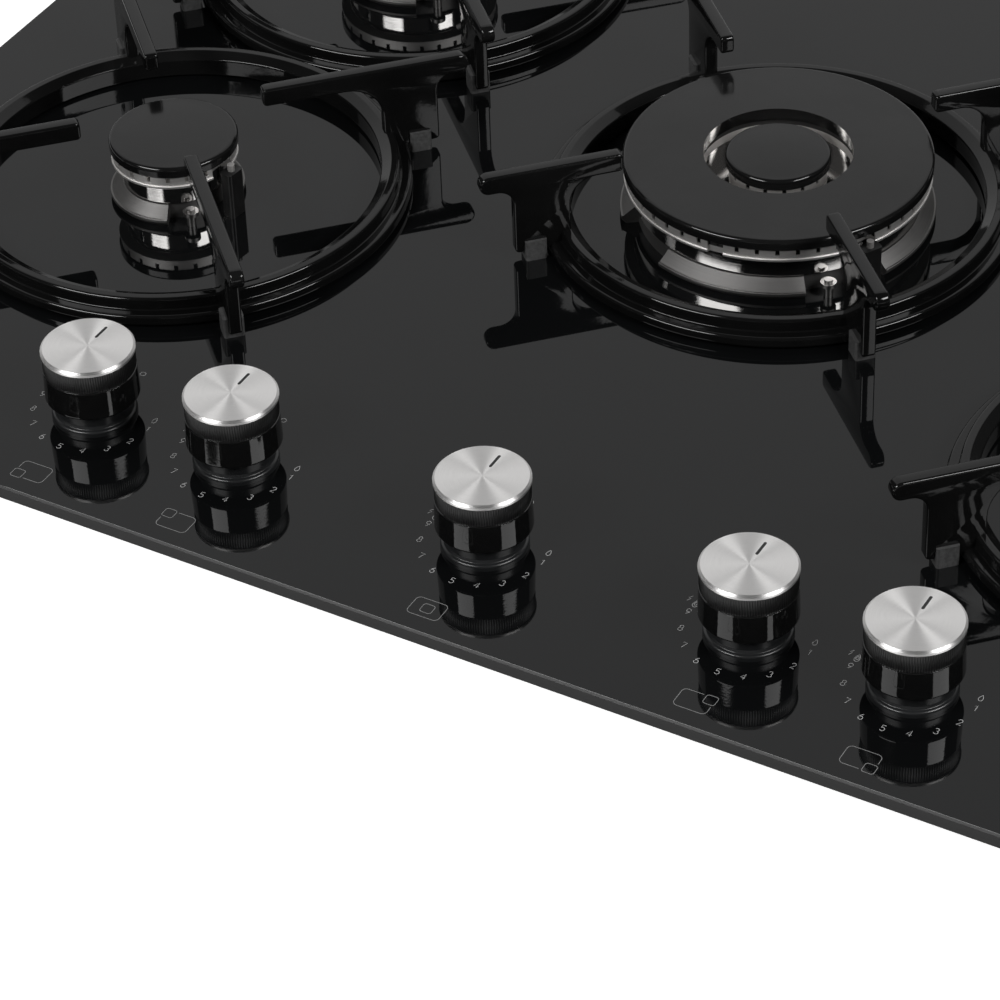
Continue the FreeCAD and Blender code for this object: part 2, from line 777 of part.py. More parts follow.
def collar():
    """Fixed collar on the glass that the knob dips over, open round the spindle."""
    s = collar_step
    inner = collar_r - collar_wall
    return spin([
        (glass_hole_r, 0), (collar_base_r, 0), (collar_base_r, collar_base_h - s),
        (collar_base_r - s, collar_base_h), (collar_r, collar_base_h + s / 2), (collar_r, collar_h - s),
        (collar_r - s, collar_h), (inner, collar_h), (inner, collar_floor_t), (glass_hole_r, collar_floor_t),
    ])


# ---------------------------------------------------------------- pipes
def pipe_path(points, bend):
    """Straight runs joined by tangent arcs."""
    pts = [V(*p) for p in points]
    edges = []
    start = pts[0]
    for i in range(1, len(pts) - 1):
        before = (pts[i - 1] - pts[i]).normalize()
        after = (pts[i + 1] - pts[i]).normalize()
        half = before.getAngle(after) / 2
        reach = bend / math.tan(half)
        a = pts[i] + before * reach
        b = pts[i] + after * reach
        middle = (before + after).normalize()
        centre = pts[i] + middle * (bend / math.sin(half))
        mid = centre - middle * bend
        edges.append(Part.LineSegment(start, a).toShape())
        edges.append(Part.Arc(a, mid, b).toShape())
        start = b
    edges.append(Part.LineSegment(start, pts[-1]).toShape())
    return Part.Wire(edges)


def tube(points):
    """Gas pipe along straight runs and bends, with its bore."""
    path = pipe_path(points, pipe_bend_r)
    start = V(*points[0])
    direction = V(*points[1]) - start
    skins = []
    for r in (pipe_r, pipe_bore_r):
        circle = Part.Wire(Part.Circle(start, direction, r).toShape())
        skins.append(path.makePipeShell([circle], True, False))
    return skins[0].cut(skins[1])


def gas_pipes():
    pipes = []
    z = pipe_z
    start_y = knob_y + tap_w / 2 + pipe_in
    turn_y = knob_y + pipe_turn
    lane_y = knob_y + pipe_lane
    for x, y, cap_r, neck_r, kx in burners.values():
        end_y = y - neck_r - boss_len + pipe_in
        lane = (kx + x) / 2
        if abs(x - kx) < 2 * pipe_bend_r:
            points = [(kx, start_y, z), (kx, end_y, z)]
        elif y > wok_y:
            points = [(kx, start_y, z), (kx, turn_y, z), (lane, lane_y, z),
                      (lane, end_y - 2 * pipe_entry, z), (x, end_y - pipe_entry, z), (x, end_y, z)]
        else:
            points = [(kx, start_y, z), (kx, turn_y, z), (x, lane_y, z), (x, end_y, z)]
        pipes.append(tube(points))
    return pipes


# ---------------------------------------------------------------- build
def place(shape, x=0.0, y=0.0):
    """From a piece's own axis, height counted from the glass top, to its place."""
    return moved(shape, x, y, glass_top)


def build_glass():
    top = glass_top
    panel = round_rect(glass_w, glass_d, glass_corner_r, glass_bottom, top)
    rim = [e for e in panel.Edges if abs(e.BoundBox.ZMin - top) < tiny and e.BoundBox.ZLength < tiny]
    panel = panel.makeChamfer(glass_edge_bevel, rim)
    holes = []
    for x, y, cap_r, neck_r, kx in burners.values():
        holes.append(cyl(neck_r + cup_clear, glass_bottom - over, top + over, x, y))
        holes.append(cyl(glass_hole_r, glass_bottom - over, top + over, kx, knob_y))
    save("glass_panel", panel.cut(holes))


def build_seal():
    outer_d = glass_d - 2 * seal_inset
    outer_w = box_w + (outer_d - box_d)
    strip = round_rect(outer_w, outer_d, seal_corner_r, worktop_z, glass_bottom)
    inner_w = outer_w - 2 * seal_w
    inner_d = outer_d - 2 * seal_w
    hole = round_rect(inner_w, inner_d, seal_corner_r - seal_w, worktop_z - over, glass_bottom + over)
    save("seal_strip", strip.cut(hole))


def build_box():
    rim_r = box_corner_r + flange_w
    outside = round_rect(box_w, box_d, box_corner_r, 0, glass_bottom)
    inner_w = box_w - 2 * sheet
    inner_d = box_d - 2 * sheet
    inside = round_rect(inner_w, inner_d, box_corner_r - sheet, sheet, glass_bottom + over)
    rim = round_rect(box_w + 2 * flange_w, box_d + 2 * flange_w, rim_r, glass_bottom - sheet, glass_bottom)
    tray = join([outside, rim]).cut(inside)
    cuts = [rod(supply_r, supply_x, box_back - flange_w, box_back + over, supply_z)]
    cuts.append(rod(gland_r - gland_neck, terminal_x, box_back - flange_w, box_back + over, supply_z))
    for sx in (-1, 1):
        for sy in (-1, 1):
            x = sx * (box_w / 2 - guard_in)
            y = sy * (box_d / 2 - guard_in)
            cuts.append(cyl(guard_hole_r, -over, sheet + over, x, y))
            cuts.append(clamp_screw_shaft(sx, sy))
    save("burner_box", tray.cut(cuts))


def build_burners():
    cups = []
    jets = []
    towers = []
    electrodes = []
    sensors = []
    for name, (x, y, cap_r, neck_r, kx) in burners.items():
        main = name == "centre"
        spreader = wok_head(cap_r, neck_r) if main else head(cap_r, neck_r)
        lid = group(wok_caps(cap_r)) if main else side_cap(cap_r)
        inner_r = max(fin_min_r, cap_r + fin_cap_gap)
        save("burner_head_" + name, place(spreader, x, y))
        save("burner_cap_" + name, place(lid, x, y))
        save("pan_support_" + name, place(pan_support(inner_r), x, y))
        save("support_feet_" + name, place(group(support_feet()), x, y))
        cups.append(place(cup(cap_r, neck_r, wok_gaps if main else 1), x, y))
        jets.append(place(injector(), x, y))
        tower, electrode = ignition_tower(cap_r)
        towers.append(place(tower, x, y))
        electrodes.append(place(electrode, x, y))
        sensors.append(place(flame_sensor(cap_r), x, y))
    save("burner_cups", group(cups))
    save("injectors", group(jets))
    save("sensor_towers", group(towers))
    save("spark_electrodes", group(electrodes))
    save("flame_sensors", group(sensors))


def build_knobs():
    one_cap = knob_cap()
    one_body = knob_body()
    for number, kx in enumerate(knob_places, 1):
        n = str(number)
        save("knob_cap_" + n, place(one_cap, kx, knob_y))
        save("knob_body_" + n, place(one_body, kx, knob_y))
        save("spindle_" + n, place(spindle(), kx, knob_y))
        save("tap_plug_" + n, place(plug(), kx, knob_y))
    save("tap_bodies", group([place(tap_body(), kx, knob_y) for kx in knob_places]))
    save("tap_covers", group([place(tap_cover(), kx, knob_y) for kx in knob_places]))
    save("knob_collars", group([place(collar(), kx, knob_y) for kx in knob_places]))


def build_switches():
    """One ignition switch on the left of each tap, and the cable that links them."""
    left = -tap_w / 2
    half = switch_w / 2
    switch = block(left - switch_reach, left, -half, half, tap_top - switch_h, tap_top)
    parts = [place(switch, kx, knob_y) for kx in knob_places]
    z = glass_top + tap_top - wire_drop
    for a, b in zip(knob_places[:-1], knob_places[1:]):
        x0 = a + tap_w / 2 + rail_gap
        x1 = b + left - switch_reach
        parts.append(Part.makeCylinder(wire_r, x1 - x0, V(x0, knob_y, z), V(1, 0, 0)))
    save("ignition_switches", group(parts))


def build_supply():
    z = supply_z
    half = outer_knob_x + tap_w / 2 + rail_end
    back = box_back - sheet
    bar = Part.makeCylinder(rail_r, 2 * half, V(-half, rail_y, z), V(1, 0, 0))
    bore = Part.makeCylinder(rail_bore_r, 2 * (half - rail_end), V(-half + rail_end, rail_y, z), V(1, 0, 0))
    branch = rod(supply_r, supply_x, rail_y, back, z)
    branch_bore = rod(rail_bore_r, supply_x, rail_y, back + over, z)
    sockets = [rod(nipple_r, kx, rail_y + rail_bore_r, knob_y, z) for kx in knob_places]
    save("gas_rail", join([bar, branch]).cut([bore, branch_bore] + sockets))
    save("gas_pipes", moved(group(gas_pipes()), 0, 0, glass_top))
    hexagon = []
    for i in range(6):
        a, b = polar(inlet_nut / math.sqrt(3), 60 * i)
        hexagon.append(V(supply_x + a, box_back, z + b))
    nut = Part.Face(Part.makePolygon(hexagon + hexagon[:1])).extrude(V(0, inlet_nut_t, 0))
    thread = rod(inlet_r, supply_x, box_back + inlet_nut_t, box_back + inlet_nut_t + inlet_len, z)
    tail = rod(supply_r, supply_x, back, box_back + over, z)
    way = rod(inlet_bore_r, supply_x, back - over, box_back + inlet_nut_t + inlet_len + over, z)
    save("gas_inlet", join([nut, thread, tail]).cut(way))


def build_electrics():
    w = module_w / 2
    d = module_d / 2
    save("ignition_module", block(-w, w, module_y - d, module_y + d, sheet, sheet + module_h))
    w = terminal_w / 2
    back = box_back - sheet - terminal_gap
    top = sheet + terminal_h
    save("mains_terminal", block(terminal_x - w, terminal_x + w, back - terminal_d, back, sheet, top))
    inside = box_back - gland_inside
    z = supply_z
    sleeve = rod(gland_r - gland_neck, terminal_x, inside, inside + gland_len, z)
    flange = rod(gland_r, terminal_x, box_back, box_back + gland_collar_t, z)
    hole = rod(gland_bore_r, terminal_x, inside - over, inside + gland_len + over, z)
    save("cord_gland", join([sleeve, flange]).cut(hole))


def clamp_screw_shaft(sx, sy):
    z = worktop_z - clamp_screw_drop
    x0 = sx * (box_w / 2 + clamp_t)
    return Part.makeCylinder(screw_r, clamp_t + clamp_screw_in, V(x0, sy * clamp_y, z), V(-sx, 0, 0))


def build_fixings():
    clamps = []
    screws = []
    low = worktop_z - worktop_t
    for sx in (-1, 1):
        for sy in (-1, 1):
            x = sx * box_w / 2
            y = sy * clamp_y
            face_x = x + sx * clamp_t
            foot_x = x + sx * clamp_reach
            y0 = y - clamp_w / 2
            y1 = y + clamp_w / 2
            upright = block(min(x, face_x), max(x, face_x), y0, y1, low - clamp_t, worktop_z - clamp_top_gap)
            foot = block(min(x, foot_x), max(x, foot_x), y0, y1, low - clamp_t, low)
            shaft = clamp_screw_shaft(sx, sy)
            head_at = V(face_x, y, worktop_z - clamp_screw_drop)
            screw_head = Part.makeCylinder(screw_head_r, screw_head_t, head_at, V(sx, 0, 0))
            clamps.append(join([upright, foot]).cut(shaft))
            screws.append(join([shaft, screw_head]))
    save("worktop_clamps", group(clamps))
    save("clamp_screws", group(screws))


os.makedirs("parts", exist_ok=True)
build_glass()
build_seal()
build_box()
build_burners()
build_knobs()
build_switches()
build_supply()
build_electrics()
build_fixings()
print("nodes", len(os.listdir("parts")))
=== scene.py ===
import json
import math
import bmesh
import bpy
import numpy as np
from mathutils import Matrix


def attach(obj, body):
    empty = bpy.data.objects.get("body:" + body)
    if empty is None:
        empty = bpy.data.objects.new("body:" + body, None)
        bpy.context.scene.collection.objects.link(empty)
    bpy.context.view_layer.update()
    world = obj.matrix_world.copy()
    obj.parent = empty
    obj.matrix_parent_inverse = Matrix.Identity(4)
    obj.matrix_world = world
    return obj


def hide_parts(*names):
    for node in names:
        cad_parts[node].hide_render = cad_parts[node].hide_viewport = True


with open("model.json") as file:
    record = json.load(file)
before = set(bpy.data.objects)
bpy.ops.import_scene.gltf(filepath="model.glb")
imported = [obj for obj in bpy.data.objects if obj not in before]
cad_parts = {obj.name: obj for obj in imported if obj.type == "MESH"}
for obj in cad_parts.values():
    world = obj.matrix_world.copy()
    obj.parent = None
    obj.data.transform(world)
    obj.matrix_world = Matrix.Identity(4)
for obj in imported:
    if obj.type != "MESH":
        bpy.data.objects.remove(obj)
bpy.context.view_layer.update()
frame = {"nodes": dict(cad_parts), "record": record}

mm = 0.001

# heights and places that all pieces share, in mm, from the middle of the box's underside
shared = {
    "glassTop": 53.0,
    "knobY": -202.0,
    "knobX": (-182.5, -114.5, 0.0, 114.5, 182.5),
    "sensorAngle": -45.0,
    "crownSplit": 27.0,
}

# name: x, y, cap radius, cup neck radius
burners = {
    "front_left": (-239.0, -53.0, 28.0, 17.0),
    "rear_left": (-239.0, 153.0, 37.0, 24.0),
    "centre": (0.0, 52.0, 66.4, 34.0),
    "rear_right": (239.0, 153.0, 37.0, 24.0),
    "front_right": (239.0, -53.0, 46.0, 28.0),
}
burnerCentres = np.array([(x, y) for x, y, capR, neckR in burners.values()])
knobCentres = np.array([(x, shared["knobY"]) for x in shared["knobX"]])


# ---- surfaces

# corners given as (r, z, rounding): each corner becomes an arc that is tangent to both sides, with a holding
# point on each side of it, which keeps the straight parts flat in the shading
def rounded(corners, steps=5):
    points = np.array([c[:2] for c in corners], float)
    radii = [c[2] if len(c) > 2 else 0.0 for c in corners]
    out = []
    for i, radius in enumerate(radii):
        p = points[i]
        a = points[i - 1] - p
        b = points[(i + 1) % len(points)] - p
        la, lb = np.linalg.norm(a), np.linalg.norm(b)
        if radius <= 0 or la < 1e-9 or lb < 1e-9:
            out.append(p[None])
            continue
        a, b = a / la, b / lb
        half = math.acos(np.clip(a @ b, -1, 1)) / 2
        reach = min(radius / math.tan(half), 0.49 * la, 0.49 * lb)
        radius = reach * math.tan(half)
        middle = p + (a + b) / np.linalg.norm(a + b) * radius / math.sin(half)
        start, end = p + a * reach - middle, p + b * reach - middle
        angle = math.acos(np.clip(start @ end / radius ** 2, -1, 1))
        t = np.linspace(0, 1, steps + 1)[:, None]
        arc = (np.sin((1 - t) * angle) * start + np.sin(t * angle) * end) / math.sin(angle)
        hold = [side * (reach + min(0.3, 0.45 * length - 0.9 * reach)) for side, length in ((a, la), (b, lb))]
        out += [(p + hold[0])[None], middle + arc, (p + hold[1])[None]]
    return np.concatenate(out)


class Shell:
    # gathers grids and flat outlines, in mm, and makes one mesh of them
    def __init__(self):
        self.points, self.faces, self.slots, self.count = [], [], [], 0

    def grid(self, points, slots=0, wrapRows=True):
        rows, cols = points.shape[:2]
        index = np.arange(rows * cols).reshape(rows, cols) + self.count
        right = np.roll(index, -1, axis=1)
        here, after = (index, np.roll(index, -1, axis=0)) if wrapRows else (index[:-1], index[1:])
        rightHere, rightAfter = (right, np.roll(right, -1, axis=0)) if wrapRows else (right[:-1], right[1:])
        quads = np.stack([here, rightHere, rightAfter, after], -1)
        rowSlots = np.broadcast_to(np.asarray(slots), (quads.shape[0],))
        self.slots.extend(np.repeat(rowSlots, cols).tolist())
        self.faces.extend(quads.reshape(-1, 4).tolist())
        self.points.append(points.reshape(-1, 3))
        self.count += rows * cols

    def outline(self, points, slot=0):
        self.faces.append((np.arange(len(points)) + self.count).tolist())
        self.slots.append(slot)
        self.points.append(points)
        self.count += len(points)

    # point = centre + (r cos t, r sin t, z): a closed (r, z) profile carried round a full turn
    def lathe(self, profile, centre, angles=None, slots=0, warp=None):
        if angles is None:
            angles = np.arange(128) * (2 * math.pi / 128)
        r, t = np.meshgrid(profile[:, 0], angles, indexing="ij")
        z = np.repeat(profile[:, 1:2], len(angles), axis=1)
        if warp is not None:
            r, z = warp(r, z, t)
        x = centre[0] + r * np.cos(t)
        y = centre[1] + r * np.sin(t)
        self.grid(np.stack([x, y, z + shared["glassTop"]], -1), slots)

    def piece(self, name, body, replaces, materials, centres=None, sharp=35.0, slot=None, edges=None):
        mesh = bpy.data.meshes.new(name)
        mesh.from_pydata(np.concatenate(self.points) * mm, [], self.faces)
        mesh.polygons.foreach_set("material_index", np.array(self.slots, np.int32))
        work = bmesh.new()
        work.from_mesh(mesh)
        bmesh.ops.remove_doubles(work, verts=work.verts, dist=2e-7)
        bmesh.ops.dissolve_degenerate(work, edges=work.edges, dist=1e-8)
        bmesh.ops.recalc_face_normals(work, faces=work.faces)
        work.to_mesh(mesh)
        work.free()
        mesh.shade_smooth()
        mesh.set_sharp_from_angle(angle=math.radians(sharp))
        flat = addPlace(mesh, centres)
        if edges:
            # attribute "depth" = how far a point lies behind the outer face of its crown
            r = np.hypot(flat[:, 0], flat[:, 1])
            depth = np.where(r > shared["crownSplit"] * mm, edges[0], edges[1]) * mm - r
            mesh.attributes.new("depth", "FLOAT", "POINT").data.foreach_set("value", depth.astype(np.float32))
        obj = bpy.data.objects.new(name, mesh)
        bpy.context.scene.collection.objects.link(obj)
        for material in materials:
            mesh.materials.append(material)
        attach(obj, body)
        if replaces:
            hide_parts(*replaces)
        slot or materialSlot(replaces[0])
        return obj


def materialSlot(node):
    return next(s["material_slot"] for s in frame["record"]["subparts"] if s["node"] == node)


# attribute "place" = the vertex seen from the nearest axis, height counted from the glass top, in metres
def addPlace(mesh, centres):
    flat = np.empty(len(mesh.vertices) * 3, np.float32)
    mesh.vertices.foreach_get("co", flat)
    flat = flat.reshape(-1, 3)
    if centres is not None:
        gap = np.linalg.norm(flat[:, None, :2] - np.asarray(centres)[None] * mm, axis=2)
        flat[:, :2] -= (np.asarray(centres) * mm)[gap.argmin(axis=1)]
    flat[:, 2] -= shared["glassTop"] * mm
    mesh.attributes.new("place", "FLOAT_VECTOR", "POINT").data.foreach_set("vector", flat.ravel())
    return flat


# ---- shader maths written as plain expressions
class Value:
    def __init__(self, tree, socket):
        self.tree, self.socket = tree, socket

    def maths(self, operation, *others, clamp=False):
        node = self.tree.nodes.new("ShaderNodeMath")
        node.operation = operation
        node.use_clamp = clamp
        for socket, value in zip(node.inputs, others):
            plug(self.tree, socket, value)
        return Value(self.tree, node.outputs[0])

    def __add__(self, other): return self.maths("ADD", self, other)
    def __radd__(self, other): return self.maths("ADD", other, self)
    def __sub__(self, other): return self.maths("SUBTRACT", self, other)
    def __rsub__(self, other): return self.maths("SUBTRACT", other, self)
    def __mul__(self, other): return self.maths("MULTIPLY", self, other)
    def __rmul__(self, other): return self.maths("MULTIPLY", other, self)
    def __gt__(self, other): return self.maths("GREATER_THAN", self, other)
    def __lt__(self, other): return self.maths("LESS_THAN", self, other)
    def clamped(self): return self.maths("ADD", self, 0.0, clamp=True)


def plug(tree, socket, value):
    if isinstance(value, Value):
        tree.links.new(value.socket, socket)
    elif value is not None:
        socket.default_value = value


class Finish:
    # one material: its tree, a principled shader, and the few nodes that every finish uses
    def __init__(self, name, **constants):
        self.material = bpy.data.materials.new(name)
        self.material.use_nodes = True
        self.tree = self.material.node_tree
        self.shader = self.tree.nodes["Principled BSDF"]
        for key, value in constants.items():
            self.shader.inputs[self.socketName(key)].default_value = value

    def socketName(self, key):
        return {"color": "Base Color", "rough": "Roughness", "metal": "Metallic", "ior": "IOR", "normal": "Normal",
                "aniso": "Anisotropic", "anisoTurn": "Anisotropic Rotation"}[key]

    def node(self, kind, settings=None, output=0, **inputs):
        node = self.tree.nodes.new("ShaderNode" + kind)
        for key, value in (settings or {}).items():
            if key == "stops":
                ramp = node.color_ramp
                while len(ramp.elements) < len(value):
                    ramp.elements.new(0.5)
                for element, (place, color) in zip(ramp.elements, value):
                    element.position = place
                    element.color = color
            else:
                setattr(node, key, value)
        for key, value in inputs.items():
            name = key.replace("_", " ")
            socket = node.inputs[int(key[1:])] if key[1:].isdigit() else node.inputs[name]
            plug(self.tree, socket, value)
        return Value(self.tree, node.outputs[output])

    def feed(self, **links):
        for key, value in links.items():
            plug(self.tree, self.shader.inputs[self.socketName(key)], value)
        return self

    def place(self):
        return self.node("Attribute", {"attribute_name": "place"}, output="Vector")

    def object(self):
        return self.node("TexCoord", output="Object")

    def axes(self, vector):
        node = self.tree.nodes.new("ShaderNodeSeparateXYZ")
        plug(self.tree, node.inputs[0], vector)
        return [Value(self.tree, out) for out in node.outputs]

    # distance from the axis, and the angle round it
    def radius(self, x, y):
        flat = self.node("CombineXYZ", X=x, Y=y)
        return self.node("VectorMath", {"operation": "LENGTH"}, output="Value", _0=flat)

    def turn(self, x, y):
        return self.node("Math", {"operation": "ARCTAN2"}, _0=y, _1=x)

    def noise(self, vector, scale, detail=2.0, rough=0.5):
        return self.node("TexNoise", Vector=vector, Scale=scale, Detail=detail, Roughness=rough)

    def blend(self, factor, a, b):
        return self.node("Mix", {"data_type": "RGBA"}, output=2, _0=factor, _6=a, _7=b)

    def grain(self, height, strength, distance):
        return self.node("Bump", Height=height, Strength=strength, Distance=distance)


def grey(level, warm=0.0):
    return (level * (1 + warm), level, level * (1 - warm), 1.0)


# ---- finishes
print("finishes")


def enamelFinish(name, tint, smooth):
    # deep black vitreous enamel: glossy, faint orange peel, a little dust in the gloss
    f = Finish(name, ior=1.40, color=grey(tint))
    where = f.object()
    peel = f.noise(where, 95.0, 3.0, 0.55)
    cloud = f.noise(where, 14.0, 4.0, 0.6)
    speck = f.noise(where, 900.0, 1.0, 0.5)
    tone = f.node("ValToRGB", {"stops": [(0.35, grey(tint * 0.7)), (0.75, grey(tint * 1.6))]}, Fac=cloud)
    return f.feed(color=tone, rough=smooth + 0.05 * cloud + 0.03 * (speck > 0.68),
                  normal=f.grain(peel, 0.10, 0.0006)).material


supportEnamel = enamelFinish("supportEnamel", 0.0045, 0.045)
capEnamel = enamelFinish("capEnamel", 0.006, 0.10)

glassLook = {"polishedRough": 0.012, "groundRough": 0.42, "tone": 0.0035, "groundTone": 0.012, "ior": 1.40,
             "topFrom": 0.05296}


def glassFinish():
    # black glass: mirror-bright top with faint wipe marks, ground and dull on its edges
    f = Finish("blackGlass", ior=glassLook["ior"])
    where = f.object()
    x, y, z = f.axes(where)
    top = (z > glassLook["topFrom"]) * 1.0
    wipe = f.noise(f.node("Mapping", Vector=where, Scale=(3.0, 14.0, 1.0)), 2.2, 5.0, 0.6)
    dust = f.noise(where, 1400.0, 0.0, 0.5)
    fine = f.noise(where, 2600.0, 2.0, 0.6)
    polished = glassLook["polishedRough"] + 0.02 * wipe + 0.05 * (dust > 0.74)
    rough = top * polished + (1 - top) * (glassLook["groundRough"] + 0.12 * fine)
    streak = f.node("ValToRGB", {"stops": [(0.3, grey(glassLook["groundTone"] * 0.75)),
                                           (0.7, grey(glassLook["groundTone"] * 1.25))]}, Fac=fine)
    tone = f.blend(top, streak, grey(glassLook["tone"], -0.06))
    return f.feed(color=tone, rough=rough).material


blackGlass = glassFinish()


def printFinish(name, low, high):
    # screen-printed ceramic ink, thin and slightly uneven
    f = Finish(name, ior=1.45)
    patch = f.noise(f.object(), 2200.0, 2.0, 0.6)
    tone = f.node("ValToRGB", {"stops": [(0.3, grey(low)), (0.7, grey(high))]}, Fac=patch)
    return f.feed(color=tone, rough=0.45 + 0.2 * patch).material


dialInk = printFinish("dialInk", 0.36, 0.52)
iconInk = printFinish("iconInk", 0.20, 0.30)

# the disc on a knob: fine grooves round its axis stretch every highlight along the radius
discLook = {
    "tone": 0.88, "rough": 0.30, "aniso": 0.92, "anisoTurn": 0.25, "edgeRough": 0.46,
    "pointer": (5.8, 14.0, 0.62), "faceFrom": 0.03345, "faceR": 0.01835, "markFrom": 0.0328,
}


def spunSteelFinish():
    f = Finish("spunSteel", metal=1.0, aniso=discLook["aniso"], anisoTurn=discLook["anisoTurn"])
    where = f.place()
    x, y, z = f.axes(where)
    radius = f.radius(x, y)
    turn = f.turn(x, y)
    lines = f.node("TexNoise", {"noise_dimensions": "2D"}, Scale=1.0, Detail=2.0, Roughness=0.7,
                   Vector=f.node("CombineXYZ", X=radius * 26000.0, Y=turn * 1.6))
    face = (z > discLook["faceFrom"]) * (radius < discLook["faceR"])
    # pointer: a capsule along +y, black where the distance to its middle line is small
    start, end, half = (v * mm for v in discLook["pointer"])
    along = f.node("Clamp", Value=y, Min=start + half, Max=end - half)
    gap = f.radius(x, y - along)
    mark = (gap < half) * (z > discLook["markFrom"])
    steel = f.node("ValToRGB", {"stops": [(0.3, grey(discLook["tone"] * 0.90, 0.012)),
                                          (0.7, grey(discLook["tone"] * 1.10, 0.012))]}, Fac=lines)
    edge = discLook["edgeRough"]
    return f.feed(color=f.blend(mark, steel, grey(0.006)), metal=1 - mark,
                  rough=edge + (discLook["rough"] + 0.08 * lines - edge) * face + 0.3 * mark,
                  normal=f.grain(lines, 0.08, 0.00005)).material


spunSteel = spunSteelFinish()

# height where the knurled band begins, and radius from which its crests are paler
knobLook = {"bandFrom": 0.02325, "crestFrom": 0.01865}


def knobFinish():
    # glossy black moulding; its knurled band is matt, paler on the crests and darker in the grooves between them
    f = Finish("knobBlack", ior=1.6)
    where = f.place()
    x, y, z = f.axes(where)
    band = (z > knobLook["bandFrom"]) * 1.0
    radius = f.radius(x, y)
    crest = band * ((radius - knobLook["crestFrom"]) * 4000.0).clamped()
    cloud = f.noise(where, 220.0, 3.0, 0.55)
    swirl = f.noise(where, 900.0, 2.0, 0.5)
    tone = f.blend(crest, grey(0.0032), grey(0.0055))
    return f.feed(color=f.blend(cloud * 0.5, tone, grey(0.007)), rough=0.035 + 0.30 * band + 0.03 * cloud,
                  normal=f.grain(swirl, 0.10, 0.0001)).material


knobBlack = knobFinish()


def collarFinish():
    f = Finish("collarGrey", ior=1.5)
    where = f.object()
    skin = f.noise(where, 1500.0, 2.0, 0.5)
    cloud = f.noise(where, 60.0, 3.0, 0.5)
    tone = f.node("ValToRGB", {"stops": [(0.3, grey(0.009, -0.05)), (0.7, grey(0.014, -0.05))]}, Fac=cloud)
    return f.feed(color=tone, rough=0.24 + 0.1 * cloud, normal=f.grain(skin, 0.12, 0.0001)).material


collarGrey = collarFinish()

# painted shade in the slots: it shows this far behind the crown's outer face, and above this height
slotShadeFrom = {"depth": 0.0007, "height": 0.0215}


# aluminium of a burner: a satin top and skirt with fine turning lines, and between the two heights of
# "polished" a bright wall with its lip
def burnerFinish(name, tone, rough, lines, polished=None):
    f = Finish(name, metal=1.0)
    where = f.place()
    x, y, z = f.axes(where)
    radius = f.radius(x, y)
    turn = f.turn(x, y)
    ground = f.node("TexNoise", {"noise_dimensions": "3D"}, Scale=1.0, Detail=2.0, Roughness=0.6,
                    Vector=f.node("CombineXYZ", X=radius * lines, Y=turn * 2.0, Z=z * lines))
    stain = f.noise(where, 60.0, 4.0, 0.6)
    tones = f.node("ValToRGB", {"stops": [(0.25, grey(tone * 0.82, 0.02)), (0.75, grey(tone * 1.12, 0.02))]},
                   Fac=0.6 * ground + 0.4 * stain)
    dull = rough + 0.08 * stain + 0.05 * ground
    if polished is not None:
        wall = (z > polished[0]) * (z < polished[1])
        dull = wall * (0.05 + 0.03 * stain) + (1 - wall) * dull
        # painted shade: the insides of the slots are painted dark and dull, standing in for the shade that falls in
        # them
        depth = f.node("Attribute", {"attribute_name": "depth"}, output="Fac")
        slotShade = (depth > slotShadeFrom["depth"]) * (z > slotShadeFrom["height"])
        tones = f.blend(slotShade, tones, grey(0.010, 0.05))
        dull = dull + 0.5 * slotShade
        f.feed(metal=1 - slotShade)
    return f.feed(color=tones, rough=dull, normal=f.grain(ground, 0.12, 0.0001)).material


headMetal = burnerFinish("headMetal", 0.74, 0.46, 5200.0, (0.0, 0.0176))
skirtMetal = burnerFinish("skirtMetal", 0.19, 0.42, 5200.0)


def plainFinish(name, tone, rough, metal=0.0, warm=0.0, scale=60.0, bump=0.1, spread=0.2):
    # cast, moulded or rolled surface: cloudy tone, small dents and scuffs in the gloss
    f = Finish(name, metal=metal)
    where = f.object()
    cloud = f.noise(where, scale, 4.0, 0.6)
    pits = f.noise(where, scale * 14.0, 2.0, 0.6)
    low, high = grey(tone * (1 - spread), warm), grey(tone * (1 + spread), warm)
    tones = f.node("ValToRGB", {"stops": [(0.3, low), (0.7, high)]}, Fac=cloud)
    return f.feed(color=tones, rough=rough + 0.12 * cloud, normal=f.grain(pits, bump, 0.0002)).material


def brassFinish():
    f = Finish("turnedBrass", metal=1.0)
    where = f.object()
    cloud = f.noise(where, 130.0, 3.0, 0.6)
    tones = f.node("ValToRGB", {"stops": [(0.3, (0.55, 0.38, 0.14, 1)), (0.7, (0.72, 0.54, 0.24, 1))]}, Fac=cloud)
    pits = f.noise(where, 2400.0)
    return f.feed(color=tones, rough=0.22 + 0.15 * cloud, normal=f.grain(pits, 0.1, 0.0001)).material


def galvanisedFinish():
    # zinc-coated sheet: crystal spangle in tone and gloss
    f = Finish("zincSheet", metal=1.0)
    where = f.object()
    spangle = f.node("TexVoronoi", {"feature": "F1"}, output="Color", Vector=where, Scale=95.0)
    level = f.axes(spangle)[0]
    cloud = f.noise(where, 20.0, 4.0, 0.6)
    tones = f.node("ValToRGB", {"stops": [(0.0, grey(0.42, -0.02)), (1.0, grey(0.62, -0.02))]},
                   Fac=0.6 * level + 0.4 * cloud)
    return f.feed(color=tones, rough=0.28 + 0.14 * level + 0.06 * cloud).material


